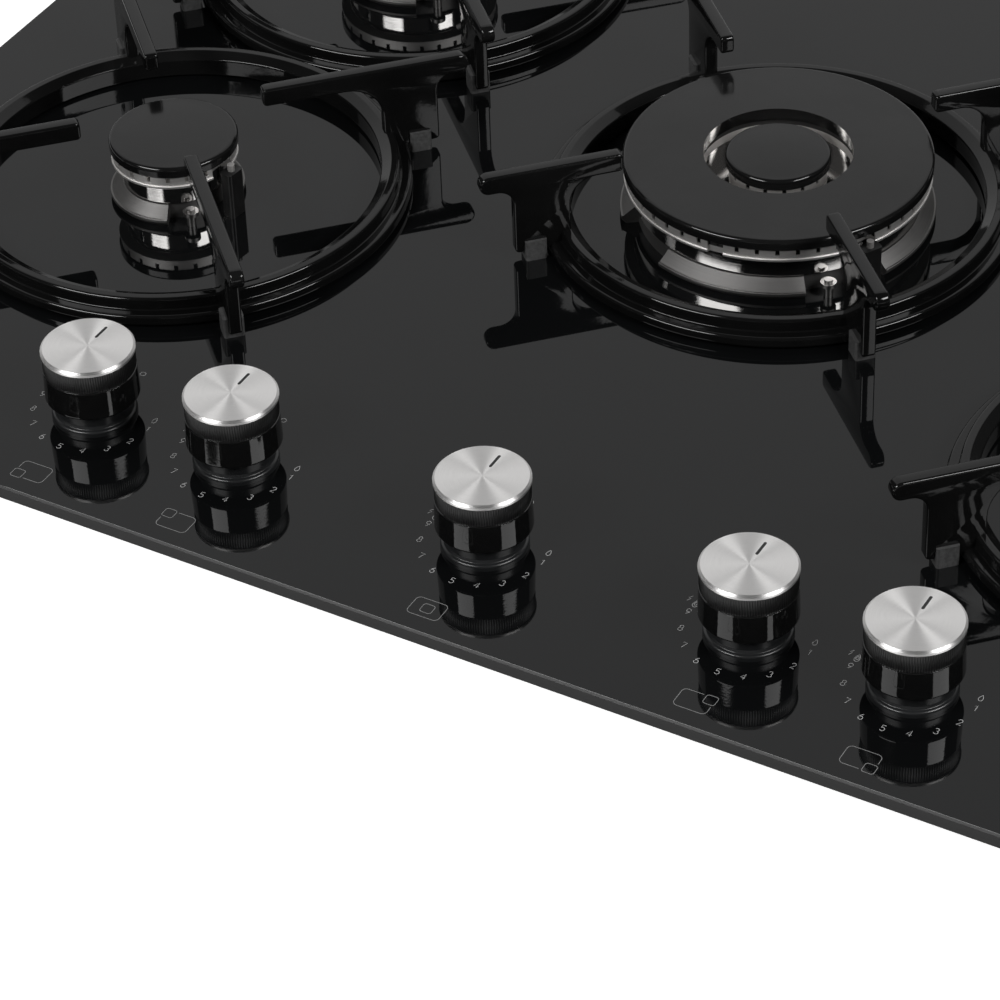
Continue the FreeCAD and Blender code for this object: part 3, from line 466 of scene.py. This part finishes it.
zincSheet = galvanisedFinish()
turnedBrass = brassFinish()
sealFoam = plainFinish("sealFoam", 0.02, 0.75, scale=400.0, bump=0.6)
footRubber = plainFinish("footRubber", 0.055, 0.34, scale=700.0, bump=0.35, spread=0.4)
castAlloy = plainFinish("castAlloy", 0.50, 0.34, metal=1.0, scale=120.0, bump=0.25)
drawnAlloy = plainFinish("drawnAlloy", 0.62, 0.26, metal=1.0, scale=50.0)
plainSteel = plainFinish("plainSteel", 0.52, 0.30, metal=1.0, warm=0.01, scale=80.0)
brightSteel = plainFinish("brightSteel", 0.62, 0.14, metal=1.0, warm=0.01, scale=160.0)
towerBlack = plainFinish("towerBlack", 0.008, 0.30, scale=200.0, bump=0.15)
caseBlack = plainFinish("caseBlack", 0.02, 0.45, scale=70.0, bump=0.2)
caseWhite = plainFinish("caseWhite", 0.62, 0.42, warm=0.02, scale=40.0, bump=0.15, spread=0.06)
glazedWhite = plainFinish("glazedWhite", 0.20, 0.20, warm=0.03, scale=90.0, bump=0.05, spread=0.3)
heatedSteel = plainFinish("heatedSteel", 0.24, 0.34, metal=1.0, warm=0.02, scale=160.0)

nodeFinishes = {
    "glass_panel": blackGlass, "seal_strip": sealFoam, "burner_box": zincSheet, "injectors": turnedBrass,
    "sensor_towers": towerBlack, "spark_electrodes": glazedWhite, "flame_sensors": heatedSteel,
    "tap_bodies": castAlloy, "tap_covers": plainSteel, "ignition_switches": caseBlack, "gas_rail": plainSteel,
    "gas_pipes": drawnAlloy, "gas_inlet": turnedBrass, "ignition_module": caseBlack,
    "mains_terminal": caseWhite, "cord_gland": caseBlack, "worktop_clamps": plainSteel,
    "clamp_screws": brightSteel,
}
for n in range(1, 6):
    nodeFinishes["spindle_%d" % n] = plainSteel
    nodeFinishes["tap_plug_%d" % n] = turnedBrass
for name in burners:
    nodeFinishes["support_feet_" + name] = footRubber
for node, material in nodeFinishes.items():
    held = frame["nodes"][node].data.materials
    held.clear()
    held.append(material)
print("node finishes", len(nodeFinishes))


# ---- knobs
knob = {
    "capR": 19.25, "top": 33.5, "capT": 2.2, "bevel": 0.9, "edge": 0.25,
    "knurlR": 18.9, "knurlDepth": 0.3, "knurlCount": 120, "knurlBottom": 23.2,
    "barrelTopR": 19.0, "barrelR": 19.5, "barrelBottom": 10.0, "barrelRound": 2.2, "wall": 2.4,
    "roof": 28.3, "hubR": 6.0, "hubZ": 13.0, "spindleR": 3.0,
}


def knobCap(x):
    k = knob
    low = k["top"] - k["capT"]
    profile = rounded([
        (0, low), (k["capR"] - 0.3, low), (k["capR"], low + 0.3, 0.1), (k["capR"], k["top"] - k["bevel"], k["edge"]),
        (k["capR"] - k["bevel"], k["top"], k["edge"]), (18.0, k["top"]), (9.0, k["top"]), (0, k["top"]),
    ])
    shell = Shell()
    shell.lathe(profile, (x, shared["knobY"]), np.arange(144) * (2 * math.pi / 144))
    return shell


def knobBody(x):
    k = knob
    inner = k["barrelR"] - k["wall"]
    roofTop = k["top"] - k["capT"]
    profile = rounded([
        (0, k["roof"]), (inner, k["roof"]), (inner, k["barrelBottom"]),
        (k["barrelR"], k["barrelBottom"], k["barrelRound"]), (k["barrelTopR"] + 0.02, k["knurlBottom"] - 0.25, 0.1),
        (k["knurlR"] - 0.35, k["knurlBottom"]), (k["knurlR"], k["knurlBottom"] + 0.25), (k["knurlR"], roofTop - 0.3),
        (k["knurlR"] - 0.35, roofTop), (0, roofTop),
    ], 8)
    # the band's ribs: r falls by the knurl depth between the crests, a rounded triangle wave
    ribs = k["knurlCount"]
    angles = np.arange(ribs * 4) * (2 * math.pi / (ribs * 4))

    def warp(r, z, t):
        valley = 0.5 - 0.5 * np.cos(t * ribs)
        band = (z > k["knurlBottom"] + 0.1) & (z < roofTop - 0.1) & (r > k["knurlR"] - 0.05)
        return r - band * valley * k["knurlDepth"], z

    shell = Shell()
    shell.lathe(profile, (x, shared["knobY"]), angles, warp=warp)
    hub = np.array([(k["spindleR"], k["hubZ"]), (k["hubR"], k["hubZ"]),
                    (k["hubR"], k["roof"]), (k["spindleR"], k["roof"])])
    shell.lathe(hub, (x, shared["knobY"]), np.arange(48) * (2 * math.pi / 48))
    return shell


collar = {"holeR": 6.5, "baseR": 17.5, "baseH": 2.6, "r": 15.6, "h": 8.5, "wall": 1.8}


def collars():
    c = collar
    profile = rounded([
        (c["holeR"], 0), (c["baseR"], 0), (c["baseR"], c["baseH"] - 0.4, 1.2), (c["r"] + 0.5, c["baseH"] + 0.2, 0.5),
        (c["r"], 4.0, 0.8), (c["r"], c["h"], 0.9), (c["r"] - c["wall"], c["h"], 0.4), (c["r"] - c["wall"], 2.0),
        (c["holeR"], 2.0),
    ], 6)
    shell = Shell()
    for x in shared["knobX"]:
        shell.lathe(profile, (x, shared["knobY"]), np.arange(96) * (2 * math.pi / 96))
    return shell


for number, x in enumerate(shared["knobX"], 1):
    body = "knob_%d" % number
    knobCap(x).piece("knobDisc%d" % number, body, ["knob_cap_%d" % number], [spunSteel], knobCentres)
    knobBody(x).piece("knobShell%d" % number, body, ["knob_body_%d" % number], [knobBlack], knobCentres)
collars().piece("collars", "hob", ["knob_collars"], [collarGrey], knobCentres)
print("knobs")


# ---- dials printed on the glass
dial = {
    "radius": 25.6, "high": 3.1, "wide": 1.9, "stroke": 0.23, "fine": 0.22, "ink": 0.03, "lift": 0.01,
    "angles": {9: 180.0, 8: 202.5, 7: 225.0, 6: 247.5, 5: 270.0, 4: 292.5, 3: 315.0, 2: 337.5, 1: 0.0},
    "iconY": -44.4, "panW": 13.75, "panH": 10.0, "panR": 2.0,
    "spot": 4.9, "spotR": 1.1, "spotOut": 0.7, "breakGap": 1.0,
    # degrees, radius, half width and height of each drop, then degrees and radius of the spark, then x, y, radius
    "drops": ((13.5, 25.8, 1.1, 3.4), (168.0, 25.6, 1.35, 4.2), (168.0, 25.6, 0.7, 2.0)),
    "spark": (166.0, 29.4), "offMark": (3.5, 30.0, 1.2),
}


# points on an ellipse: (x + rx cos a, y + ry sin a), a in degrees from a0 to a1
def bow(x, y, rx, ry, a0, a1, steps=18):
    a = np.radians(np.linspace(a0, a1, steps))
    return np.stack([x + rx * np.cos(a), y + ry * np.sin(a)], 1)


# plain stroke numerals in a box 0.6 wide and 1 high, each a list of lines drawn without lifting
def numeral(digit):
    stem = np.array([(0.46, 1.0), (0.28, 0.86), (0.12, 0.64), (0.03, 0.36)])
    six = [stem, bow(0.30, 0.30, 0.27, 0.30, 0, 360, 28)]
    strokes = {
        1: [np.array([(0.14, 0.78), (0.36, 1.0), (0.36, 0.0)])],
        2: [np.concatenate([bow(0.30, 0.71, 0.26, 0.29, 170, -25), [(0.03, 0.0), (0.58, 0.0)]])],
        3: [np.concatenate([bow(0.28, 0.76, 0.24, 0.24, 150, -90), bow(0.28, 0.27, 0.28, 0.27, 88, -150)])],
        4: [np.array([(0.46, 0.0), (0.46, 1.0), (0.02, 0.28), (0.62, 0.28)])],
        5: [np.concatenate([[(0.54, 1.0), (0.12, 1.0), (0.08, 0.55)], bow(0.29, 0.31, 0.28, 0.31, 128, -150)])],
        6: six,
        7: [np.array([(0.03, 1.0), (0.57, 1.0), (0.20, 0.0)])],
        8: [bow(0.30, 0.76, 0.22, 0.24, 0, 360, 24), bow(0.30, 0.26, 0.28, 0.26, 0, 360, 28)],
        9: [np.array([0.6, 1.0]) - line for line in six],
    }
    return strokes[digit]


# flame: x = w sin(t) sin(t / 2), y = h (1 + cos(t)) / 2, a drop with its tip up
def drop(w, h):
    t = np.linspace(0, 2 * math.pi, 30)
    return np.stack([w * np.sin(t) * np.sin(t / 2), h * (1 + np.cos(t)) / 2 - h / 2], 1)


def roundedBox(w, h, r):
    return rounded([(-w / 2, -h / 2, r), (w / 2, -h / 2, r), (w / 2, h / 2, r), (-w / 2, h / 2, r)], 6)


# a line becomes a flat bar: its middle line moved half a stroke to both sides, then up by the ink's height
def inkBar(shell, line, at, fine=0):
    d = dial
    closed = np.linalg.norm(line[0] - line[-1]) < 1e-6
    line = line[:-1] if closed else line
    if closed:
        along = np.roll(line, -1, axis=0) - np.roll(line, 1, axis=0)
    else:
        along = np.gradient(line, axis=0)
    along /= np.linalg.norm(along, axis=1)[:, None]
    side = np.stack([-along[:, 1], along[:, 0]], 1) * (d["fine"] if fine else d["stroke"]) / 2
    low, high = (np.full(len(line), shared["glassTop"] + d["lift"] + h) for h in (0.0, d["ink"]))
    corners = [(line + side, low), (line - side, low), (line - side, high), (line + side, high)]
    grid = np.stack([np.concatenate([flat + at, z[:, None]], 1) for flat, z in corners], 1)
    shell.grid(grid, fine, wrapRows=closed)
    if not closed:
        shell.outline(grid[0][::-1], fine)
        shell.outline(grid[-1], fine)


# pan outline with a small ring where the burner sits; at a corner the outline stops short of the ring
def burnerIcon(shell, column, row, at):
    d = dial
    w, h = d["panW"], d["panH"]
    reach = d["spotOut"] - d["spot"] / 2
    spot = np.array([column * (w / 2 + reach), row * (h / 2 + reach)])
    pan = roundedBox(w, h, d["panR"])
    pan = np.concatenate([pan, pan[:1]])
    if column:
        fine = np.concatenate([np.linspace(a, b, 24, endpoint=False) for a, b in zip(pan[:-1], pan[1:])])
        free = np.abs(fine - spot).max(axis=1) > d["spot"] / 2 + d["breakGap"]
        first = int(np.argmax(free & ~np.roll(free, 1)))
        pan = np.roll(fine, -first, axis=0)[:int(free.sum())]
        pan = pan[np.unique(np.concatenate([np.arange(0, len(pan), 8), [len(pan) - 1]]))]
    inkBar(shell, pan, at, 1)
    ring = roundedBox(d["spot"], d["spot"], d["spotR"]) + spot
    inkBar(shell, np.concatenate([ring, ring[:1]]), at, 1)


def dials():
    d = dial
    shell = Shell()
    corners = ((-1, -1), (-1, 1), (0, 0), (1, 1), (1, -1))
    for x, (column, row) in zip(shared["knobX"], corners):
        centre = np.array([x, shared["knobY"]])
        for digit, degrees in d["angles"].items():
            a = math.radians(degrees)
            at = centre + d["radius"] * np.array([math.cos(a), math.sin(a)])
            for line in numeral(digit):
                inkBar(shell, (line - [0.3, 0.5]) * [d["wide"] / 0.6, d["high"]], at)
        for degrees, radius, w, h in d["drops"]:
            a = math.radians(degrees)
            inkBar(shell, drop(w, h), centre + radius * np.array([math.cos(a), math.sin(a)]))
        a, radius = math.radians(d["spark"][0]), d["spark"][1]
        spark = np.array([(0.5, 1.6), (-0.6, 0.2), (0.4, 0.1), (-0.5, -1.6)])
        inkBar(shell, spark, centre + radius * np.array([math.cos(a), math.sin(a)]))
        offX, offY, offR = d["offMark"]
        inkBar(shell, bow(0, 0, offR, offR, 0, 360, 24), centre + [offX, offY])
        burnerIcon(shell, column, row, centre + [0.0, d["iconY"]])
    return shell


dials().piece("dialPrint", "hob", [], [dialInk, iconInk], slot="glass_black")
print("dials")


# ---- burners
burner = {
    "skirtZ": 3.8, "wallFoot": 8.0, "lipZ": 18.8, "lipT": 1.2, "portTop": 24.3, "capT": 5.2, "overhang": 4.7,
    "capEdge": 1.7, "capDome": 0.6, "portW": 1.8, "portH": 2.7, "portPitch": 8.0, "headWall": 3.0,
    "lipInset": 0.4, "portInset": 0.9, "lipSlope": 1.2, "floorT": 2.5, "feedR": 6.0, "spigotZ": 2.0,
    "innerCrown": 21.0, "innerCapOver": 1.6, "innerFeed": 5.0, "well": 33.0, "skirtOut": 1.4, "cupWall": 2.0,
    "cupDepth": 38.0, "seat": 0.3, "sensorGapW": 19.0, "towerGapW": 21.0, "gapDepth": 1.5, "towerBeside": 15.5,
    "nicheW": 11.0, "nicheDepth": 2.0, "nicheWall": 2.0, "guideH": 2.0, "wokGaps": 4, "reliefAngle": -87.0,
    "reliefW": 7.0, "reliefDepth": 1.6,
}
sensorAt = math.radians(shared["sensorAngle"])


def towerAt(capR):
    return sensorAt + burner["towerBeside"] / (capR - burner["overhang"])


# angles with both edges of every slot twice, so that a slot's walls stand upright
def slotAngles(radius, count, width):
    middle = (np.arange(count) + 0.5) * (2 * math.pi / count)
    half = width / 2 / radius
    edge = 1e-5
    offsets = np.array([-half - edge, -half, half, half + edge])
    between = np.linspace(0, 2 * math.pi / count, 5)[:-1]
    spread = np.concatenate([offsets + math.pi / count, between])
    angles = (np.arange(count)[:, None] * (2 * math.pi / count) + spread).ravel()
    return np.unique(np.round(angles % (2 * math.pi), 9)), middle, half + edge / 2


def insideSlots(t, middle, half):
    pitch = 2 * math.pi / len(middle)
    return np.abs((t - middle[0] + pitch / 2) % pitch - pitch / 2) < half


def near(t, at, half):
    return np.abs((t - at + math.pi) % (2 * math.pi) - math.pi) < half


# adds both edges of a cut twice, so that its side walls stand upright
def withCut(angles, at, half):
    edges = at + np.array([-half - 1e-5, -half + 1e-5, half - 1e-5, half + 1e-5])
    return np.unique(np.round(np.concatenate([angles, edges % (2 * math.pi)]), 9))


# head: polished wall, lip, and the crown with its slots; in front of the tower the wall steps back
def burnerHead(name):
    b = burner
    x, y, capR, neckR = burners[name]
    wall, lip, port = capR - b["overhang"], capR - b["lipInset"], capR - b["portInset"]
    floor = b["wallFoot"] + b["seat"]
    up = floor + b["floorT"]
    top, slotZ, lipTop = b["portTop"], b["portTop"] - b["portH"], b["lipZ"] + b["lipT"]
    count = 4 * int(math.pi * port / b["portPitch"] / 2)
    angles, middle, half = slotAngles(port, count, b["portW"])
    tower, halfNiche = towerAt(capR), b["nicheW"] / 2 / (wall + 1.0)
    angles = withCut(angles, tower, halfNiche)
    # one wide shallow recess in the rim of the large head
    relief, reliefIn = math.radians(b["reliefAngle"]), port - b["reliefDepth"]
    halfRelief = b["reliefW"] / 2 / reliefIn if name == "centre" else 0.0
    angles = withCut(angles, relief, halfRelief) if halfRelief else angles
    feed = b["innerFeed"] if name == "centre" else b["feedR"]
    outside = rounded([
        (feed, floor), (wall, floor, 0.5), (wall, b["lipZ"] - b["lipSlope"], 0.6), (lip, b["lipZ"], 0.35),
        (lip, lipTop, 0.35), (port, lipTop, 0.15), (port, slotZ), (port, slotZ + 1e-4), (port, top),
    ], 6)
    inside = [(port - b["headWall"], top), (port - b["headWall"], lipTop),
              (wall - b["headWall"], b["lipZ"] - b["lipSlope"]), (wall - b["headWall"], up)]
    outer = np.concatenate([outside, inside])
    back = wall - b["nicheDepth"]
    nicheTop = top - b["guideH"] - b["seat"]

    def warp(r, z, t):
        row = np.arange(len(r))[:, None]
        crown = (z > slotZ + 5e-5) & (r > port - 0.5)
        r = np.where(crown & insideSlots(t, middle, half), port - b["headWall"] + 0.05, r)
        r = np.where(near(t, relief, halfRelief) & (row < len(outside)) & (r > reliefIn), reliefIn, r)
        cut = near(t, tower, halfNiche)
        front, behind = cut & (row < len(outside)) & (r > back), cut & (row >= len(outside)) & (row < len(outer))
        z = np.where((front | behind) & (z > nicheTop), nicheTop, z)
        return np.where(front, back, np.where(behind, back - b["nicheWall"], r)), z

    shell = Shell()
    if name != "centre":
        tube = feed + 2.5
        profile = np.concatenate([outer, [(tube, up), (tube, floor + 7.0), (feed, floor + 7.0)]])
        shell.lathe(profile, (x, y), angles, warp=warp)
    else:
        well, crown = b["well"], b["innerCrown"]
        # the small crown inside has slots of its own
        smallCount = 4 * int(math.pi * crown / b["portPitch"] / 2)
        smallAngles, smallMiddle, smallHalf = slotAngles(crown, smallCount, b["portW"])
        angles = np.unique(np.concatenate([angles, smallAngles]))
        profile = np.concatenate([outer, [
            (well + 2.0, up), (well + 2.0, top), (well, top), (well, up), (crown, up), (crown, slotZ - 0.5),
            (crown, slotZ), (crown, slotZ + 1e-4), (crown, top), (crown - b["headWall"], top),
            (crown - b["headWall"], up), (feed, up),
        ]])

        def warpBoth(r, z, t):
            r, z = warp(r, z, t)
            small = (z > slotZ + 5e-5) & (r < crown + 0.1) & (r > crown - 0.5)
            small &= insideSlots(t, smallMiddle, smallHalf)
            return np.where(small, crown - b["headWall"] + 0.05, r), z

        shell.lathe(profile, (x, y), angles, warp=warpBoth)
    plugR = neckR - b["cupWall"] - b["seat"]
    spigot = np.array([(plugR - 2.0, b["spigotZ"]), (plugR, b["spigotZ"]),
                       (plugR, floor + 0.5), (plugR - 2.0, floor + 0.5)])
    shell.lathe(spigot, (x, y), np.arange(96) * (2 * math.pi / 96))
    return shell


# cap: flat underside, rounded rim, top on a large sphere z = top + dome - r*r / (2 * sphere radius)
def capProfile(inner, outer):
    b = burner
    low, top = b["portTop"], b["portTop"] + b["capT"]
    flat = outer - b["capEdge"]
    sphere = (flat ** 2 + b["capDome"] ** 2) / (2 * b["capDome"])
    radii = np.linspace(flat, inner, 9)[1:]
    dome = np.stack([radii, top + b["capDome"] - sphere + np.sqrt(sphere ** 2 - radii ** 2)], 1)
    rim = rounded([(inner, low), (outer - 0.6, low), (outer, low + 0.6, 0.4), (outer, top + 0.02, b["capEdge"]),
                   (flat - 2.0, top + 0.02)], 10)[:-1]
    return np.concatenate([rim, dome])


def capGuide(wall):
    top = burner["portTop"]
    r = wall - burner["seat"]
    low, high = top - burner["guideH"], top + 0.3
    return np.array([(r - 2.0, low), (r, low), (r, high), (r - 2.0, high)])


def burnerCap(name):
    b = burner
    x, y, capR, neckR = burners[name]
    turn = np.arange(144) * (2 * math.pi / 144)
    shell = Shell()
    inner = b["well"] - 1.0 if name == "centre" else 0.0
    shell.lathe(capProfile(inner, capR), (x, y), turn)
    shell.lathe(capGuide(capR - b["portInset"] - b["headWall"]), (x, y), turn)
    if name == "centre":
        shell.lathe(capProfile(0.0, b["innerCrown"] + b["innerCapOver"]), (x, y), turn)
        shell.lathe(capGuide(b["innerCrown"] - b["headWall"]), (x, y), turn)
    return shell


# cup: neck below the glass, and above it the satin skirt, cut away at the sensor and the tower; the middle
# burner's skirt has this cut at every quarter turn
def burnerCups():
    b = burner
    shell = Shell()
    for name, (x, y, capR, neckR) in burners.items():
        wall, skirt = capR - b["overhang"], capR + b["skirtOut"]
        inner, deep = neckR - b["cupWall"], -b["cupDepth"]
        profile = rounded([
            (2.5, deep), (neckR, deep), (neckR, 0), (skirt - 2.0, 0), (skirt, b["skirtZ"] - 1.4, 0.3),
            (skirt, b["skirtZ"], 0.35), (skirt - 0.8, b["skirtZ"], 0.3), (wall + 0.2, b["wallFoot"], 0.3),
            (wall - b["headWall"], b["wallFoot"]), (inner, 1.5), (inner, deep + b["cupWall"]),
            (2.5, deep + b["cupWall"]),
        ], 5)
        middleR, back = (wall + skirt) / 2, wall - b["gapDepth"]
        turns = np.arange(b["wokGaps"] if name == "centre" else 1) * (math.pi / 2)
        cuts = [(sensorAt + turn, math.asin(b["sensorGapW"] / 2 / middleR)) for turn in turns]
        cuts += [(towerAt(capR) + turn, math.asin(b["towerGapW"] / 2 / middleR)) for turn in turns]
        angles = np.arange(160) * (2 * math.pi / 160)
        for at, half in cuts:
            angles = withCut(angles, at, half)

        def warp(r, z, t):
            cut = np.any([near(t, at, half) for at, half in cuts], axis=0) & (r > back)
            return np.where(cut, back, r), z

        shell.lathe(profile, (x, y), angles, warp=warp)
    return shell


for name in burners:
    crowns = (burners[name][2] - burner["portInset"], burner["innerCrown"])
    burnerHead(name).piece("flameHead_" + name, "head_" + name, ["burner_head_" + name], [headMetal], burnerCentres,
                           edges=crowns)
    burnerCap(name).piece("enamelCap_" + name, "cap_" + name, ["burner_cap_" + name], [capEnamel], burnerCentres)
burnerCups().piece("skirts", "hob", ["burner_cups"], [skirtMetal], burnerCentres)
print("burners")


# ---- pan supports
support = {
    "ringOut": 102.5, "ringW": 13.5, "ringWall": 97.4, "ledge": 6.0, "ringH": 11.6, "ringLift": 1.2, "step": 4.5,
    "slope": 2.4, "edge": 1.3, "draft": 0.4,
    "finT": 6.0, "tipR": 132.0, "legR": 117.5, "finH": 44.5, "armH": 8.6, "under": 9.0,
    "finEdge": 1.1, "finLift": 3.8, "minR": 40.0, "capGap": 3.0, "web": 16.0, "webIn": 3.0, "root": 2.0,
    "end": 2.0, "footW": 9.5, "footH": 9.5, "footSlot": 2.5, "footInset": 4.0, "footGap": 0.2,
}


# side view of a fin as (r, z), from the tip over the top and round by the leg
def finOutline(innerR):
    s = support
    top, under = s["finH"], s["finH"] - s["armH"]
    tip = s["armH"] / 2 - 0.01
    foot = s["legR"] - s["footInset"] - s["footW"] / 2
    arch = s["footW"] / 2 + s["footGap"]
    archTop = s["footH"] - s["footSlot"]
    legIn = s["ringOut"] - s["ringW"] / 2
    web = legIn - s["webIn"]
    root = s["ringLift"] + s["root"]
    return rounded([
        (s["tipR"], top, tip), (innerR, top, s["end"]), (innerR, under, s["end"]), (web, under, s["web"]),
        (web, root), (legIn, root), (legIn + s["end"], s["finLift"]), (foot - arch, s["finLift"]),
        (foot - arch, archTop), (foot + arch, archTop), (foot + arch, s["finLift"]),
        (s["legR"], s["finLift"], s["end"]), (s["legR"], under, s["under"]), (s["tipR"], under, tip),
    ], 9)


# a fin is its outline carried across its thickness; near both faces it steps in by edge * (1 - cos a)
def finGrid(outline, x, y, angle):
    s = support
    before, after = np.roll(outline, 1, axis=0), np.roll(outline, -1, axis=0)
    along = after - before
    along /= np.linalg.norm(along, axis=1)[:, None]
    inward = np.stack([-along[:, 1], along[:, 0]], 1)
    a = np.linspace(0, math.pi / 2, 5)
    inset = s["finEdge"] * (1 - np.cos(a))
    depth = s["finT"] / 2 - s["finEdge"] * (1 - np.sin(a))
    inset = np.concatenate([inset[::-1], inset])
    side = np.concatenate([-depth[::-1], depth])
    r = outline[None, :, 0] + inset[:, None] * inward[None, :, 0]
    z = outline[None, :, 1] + inset[:, None] * inward[None, :, 1]
    t = np.repeat(side[:, None], len(outline), axis=1)
    c, q = math.cos(angle), math.sin(angle)
    return np.stack([x + r * c - t * q, y + r * q + t * c, z + shared["glassTop"]], -1)


def panSupport(name):
    s = support
    x, y, capR, neckR = burners[name]
    out, wall, inn = s["ringOut"], s["ringWall"], s["ringOut"] - s["ringW"]
    profile = rounded([
        (inn, s["ringLift"], 0.3), (out, s["ringLift"], s["edge"]), (out - s["draft"], s["ledge"], s["edge"]),
        (wall, s["ledge"], 0.7), (wall - s["draft"], s["ringH"], s["edge"]), (inn + s["step"], s["ringH"], 0.9),
        (inn, s["ringH"] - s["slope"], 0.9),
    ], 7)
    shell = Shell()
    shell.lathe(profile, (x, y), np.arange(240) * (2 * math.pi / 240))
    outline = finOutline(max(s["minR"], capR + s["capGap"]))
    for i in range(4):
        grid = finGrid(outline, x, y, math.radians(45 + 90 * i))
        shell.grid(grid, wrapRows=False)
        shell.outline(grid[0][::-1])
        shell.outline(grid[-1])
    return shell


for name in burners:
    panSupport(name).piece("casting_" + name, "support_" + name, ["pan_support_" + name], [supportEnamel],
                           burnerCentres)
print("pan supports")


# ---- floor, light and camera
print("stage")


stageLook = {"lift": 0.68, "cutout": (0.280, 0.245), "far": 9.0, "height": 0.045}


# the floor is the worktop that carries the glass, with the cut-out that the box hangs in
def stage():
    w, d = stageLook["cutout"]
    far, z = stageLook["far"], stageLook["height"]
    corners = [(i * x, j * y, z) for x, y in ((far, far), (w, d)) for i, j in ((-1, -1), (1, -1), (1, 1), (-1, 1))]
    floor = bpy.data.meshes.new("floor")
    floor.from_pydata(corners, [], [(0, 1, 5, 4), (1, 2, 6, 5), (2, 3, 7, 6), (3, 0, 4, 7)])
    obj = bpy.data.objects.new("floor", floor)
    bpy.context.scene.collection.objects.link(obj)
    f = Finish("floorWhite", color=grey(0.88), rough=0.9)
    seen = f.node("LightPath", output="Is Camera Ray")
    f.shader.inputs["Emission Color"].default_value = (1, 1, 1, 1)
    f.tree.links.new((seen * stageLook["lift"]).socket, f.shader.inputs["Emission Strength"])
    floor.materials.append(f.material)


# angles in degrees, lengths in metres, powers in watts
light = {
    "azimuth": 30.994, "target": (0.0, -0.12, 0.06), "world": 0.05,
    "sideAngle": 54.0, "height": 39.0, "distance": 2.6, "width": 1.35, "tall": 0.55, "power": 43.0,
    "sheetHeight": 36.0, "sheetDistance": 3.0, "sheetW": 5.4, "sheetTall": 3.06, "sheetPower": 32.0,
}


def softbox(name, azimuth, height, width, tall, power, distance):
    lamp = bpy.data.lights.new(name, "AREA")
    lamp.shape = "RECTANGLE"
    lamp.size, lamp.size_y = width, tall
    lamp.energy = power
    obj = bpy.data.objects.new(name, lamp)
    obj.visible_camera = False
    a, e = math.radians(azimuth), math.radians(height)
    away = np.array([math.sin(a) * math.cos(e), -math.cos(a) * math.cos(e), math.sin(e)])
    right = np.array([math.cos(a), math.sin(a), 0.0])
    up = np.cross(away, right)
    place = np.array(light["target"]) + away * distance
    columns = np.stack([right, up, away], 1)
    obj.matrix_world = Matrix([list(row) + [t] for row, t in zip(columns, place)] + [[0, 0, 0, 1]])
    bpy.context.scene.collection.objects.link(obj)
    return obj


def studio():
    l = light
    for name, side in (("softLeft", -1), ("softRight", 1)):
        softbox(name, l["azimuth"] + side * l["sideAngle"], l["height"], l["width"], l["tall"], l["power"],
                l["distance"])
    # a large plain sheet opposite the camera, which the glass and the discs mirror
    softbox("sheet", l["azimuth"] + 180, l["sheetHeight"], l["sheetW"], l["sheetTall"], l["sheetPower"],
            l["sheetDistance"])
    world = bpy.data.worlds.new("studio")
    bpy.context.scene.world = world
    world.use_nodes = True
    world.node_tree.nodes["Background"].inputs["Color"].default_value = (1, 1, 1, 1)
    world.node_tree.nodes["Background"].inputs["Strength"].default_value = l["world"]


# the photograph's view: azimuth, elevation, roll in degrees, target and distance in mm, focal length in mm
view = {"azimuth": 30.994, "elevation": 38.939, "roll": -2.331, "target": (-7.87, -176.35, 53.0),
        "distance": 1607.7, "lens": 147.096}


def camera():
    v = view
    a, e, roll = (math.radians(v[key]) for key in ("azimuth", "elevation", "roll"))
    right = np.array([math.cos(a), math.sin(a), 0.0])
    away = np.array([math.sin(a) * math.cos(e), -math.cos(a) * math.cos(e), math.sin(e)])
    up = np.cross(away, right)
    x = math.cos(roll) * right + math.sin(roll) * up
    y = -math.sin(roll) * right + math.cos(roll) * up
    eye = (np.array(v["target"]) + away * v["distance"]) * mm
    data = bpy.data.cameras.new("camera")
    data.lens, data.sensor_width, data.sensor_fit = v["lens"], 36.0, "HORIZONTAL"
    data.clip_start, data.clip_end = 0.05, 40.0
    obj = bpy.data.objects.new("camera", data)
    obj.matrix_world = Matrix([[x[i], y[i], away[i], eye[i]] for i in range(3)] + [[0, 0, 0, 1]])
    bpy.context.scene.collection.objects.link(obj)
    bpy.context.scene.camera = obj


stage()
studio()
camera()
bpy.context.scene.view_settings.view_transform = "Standard"
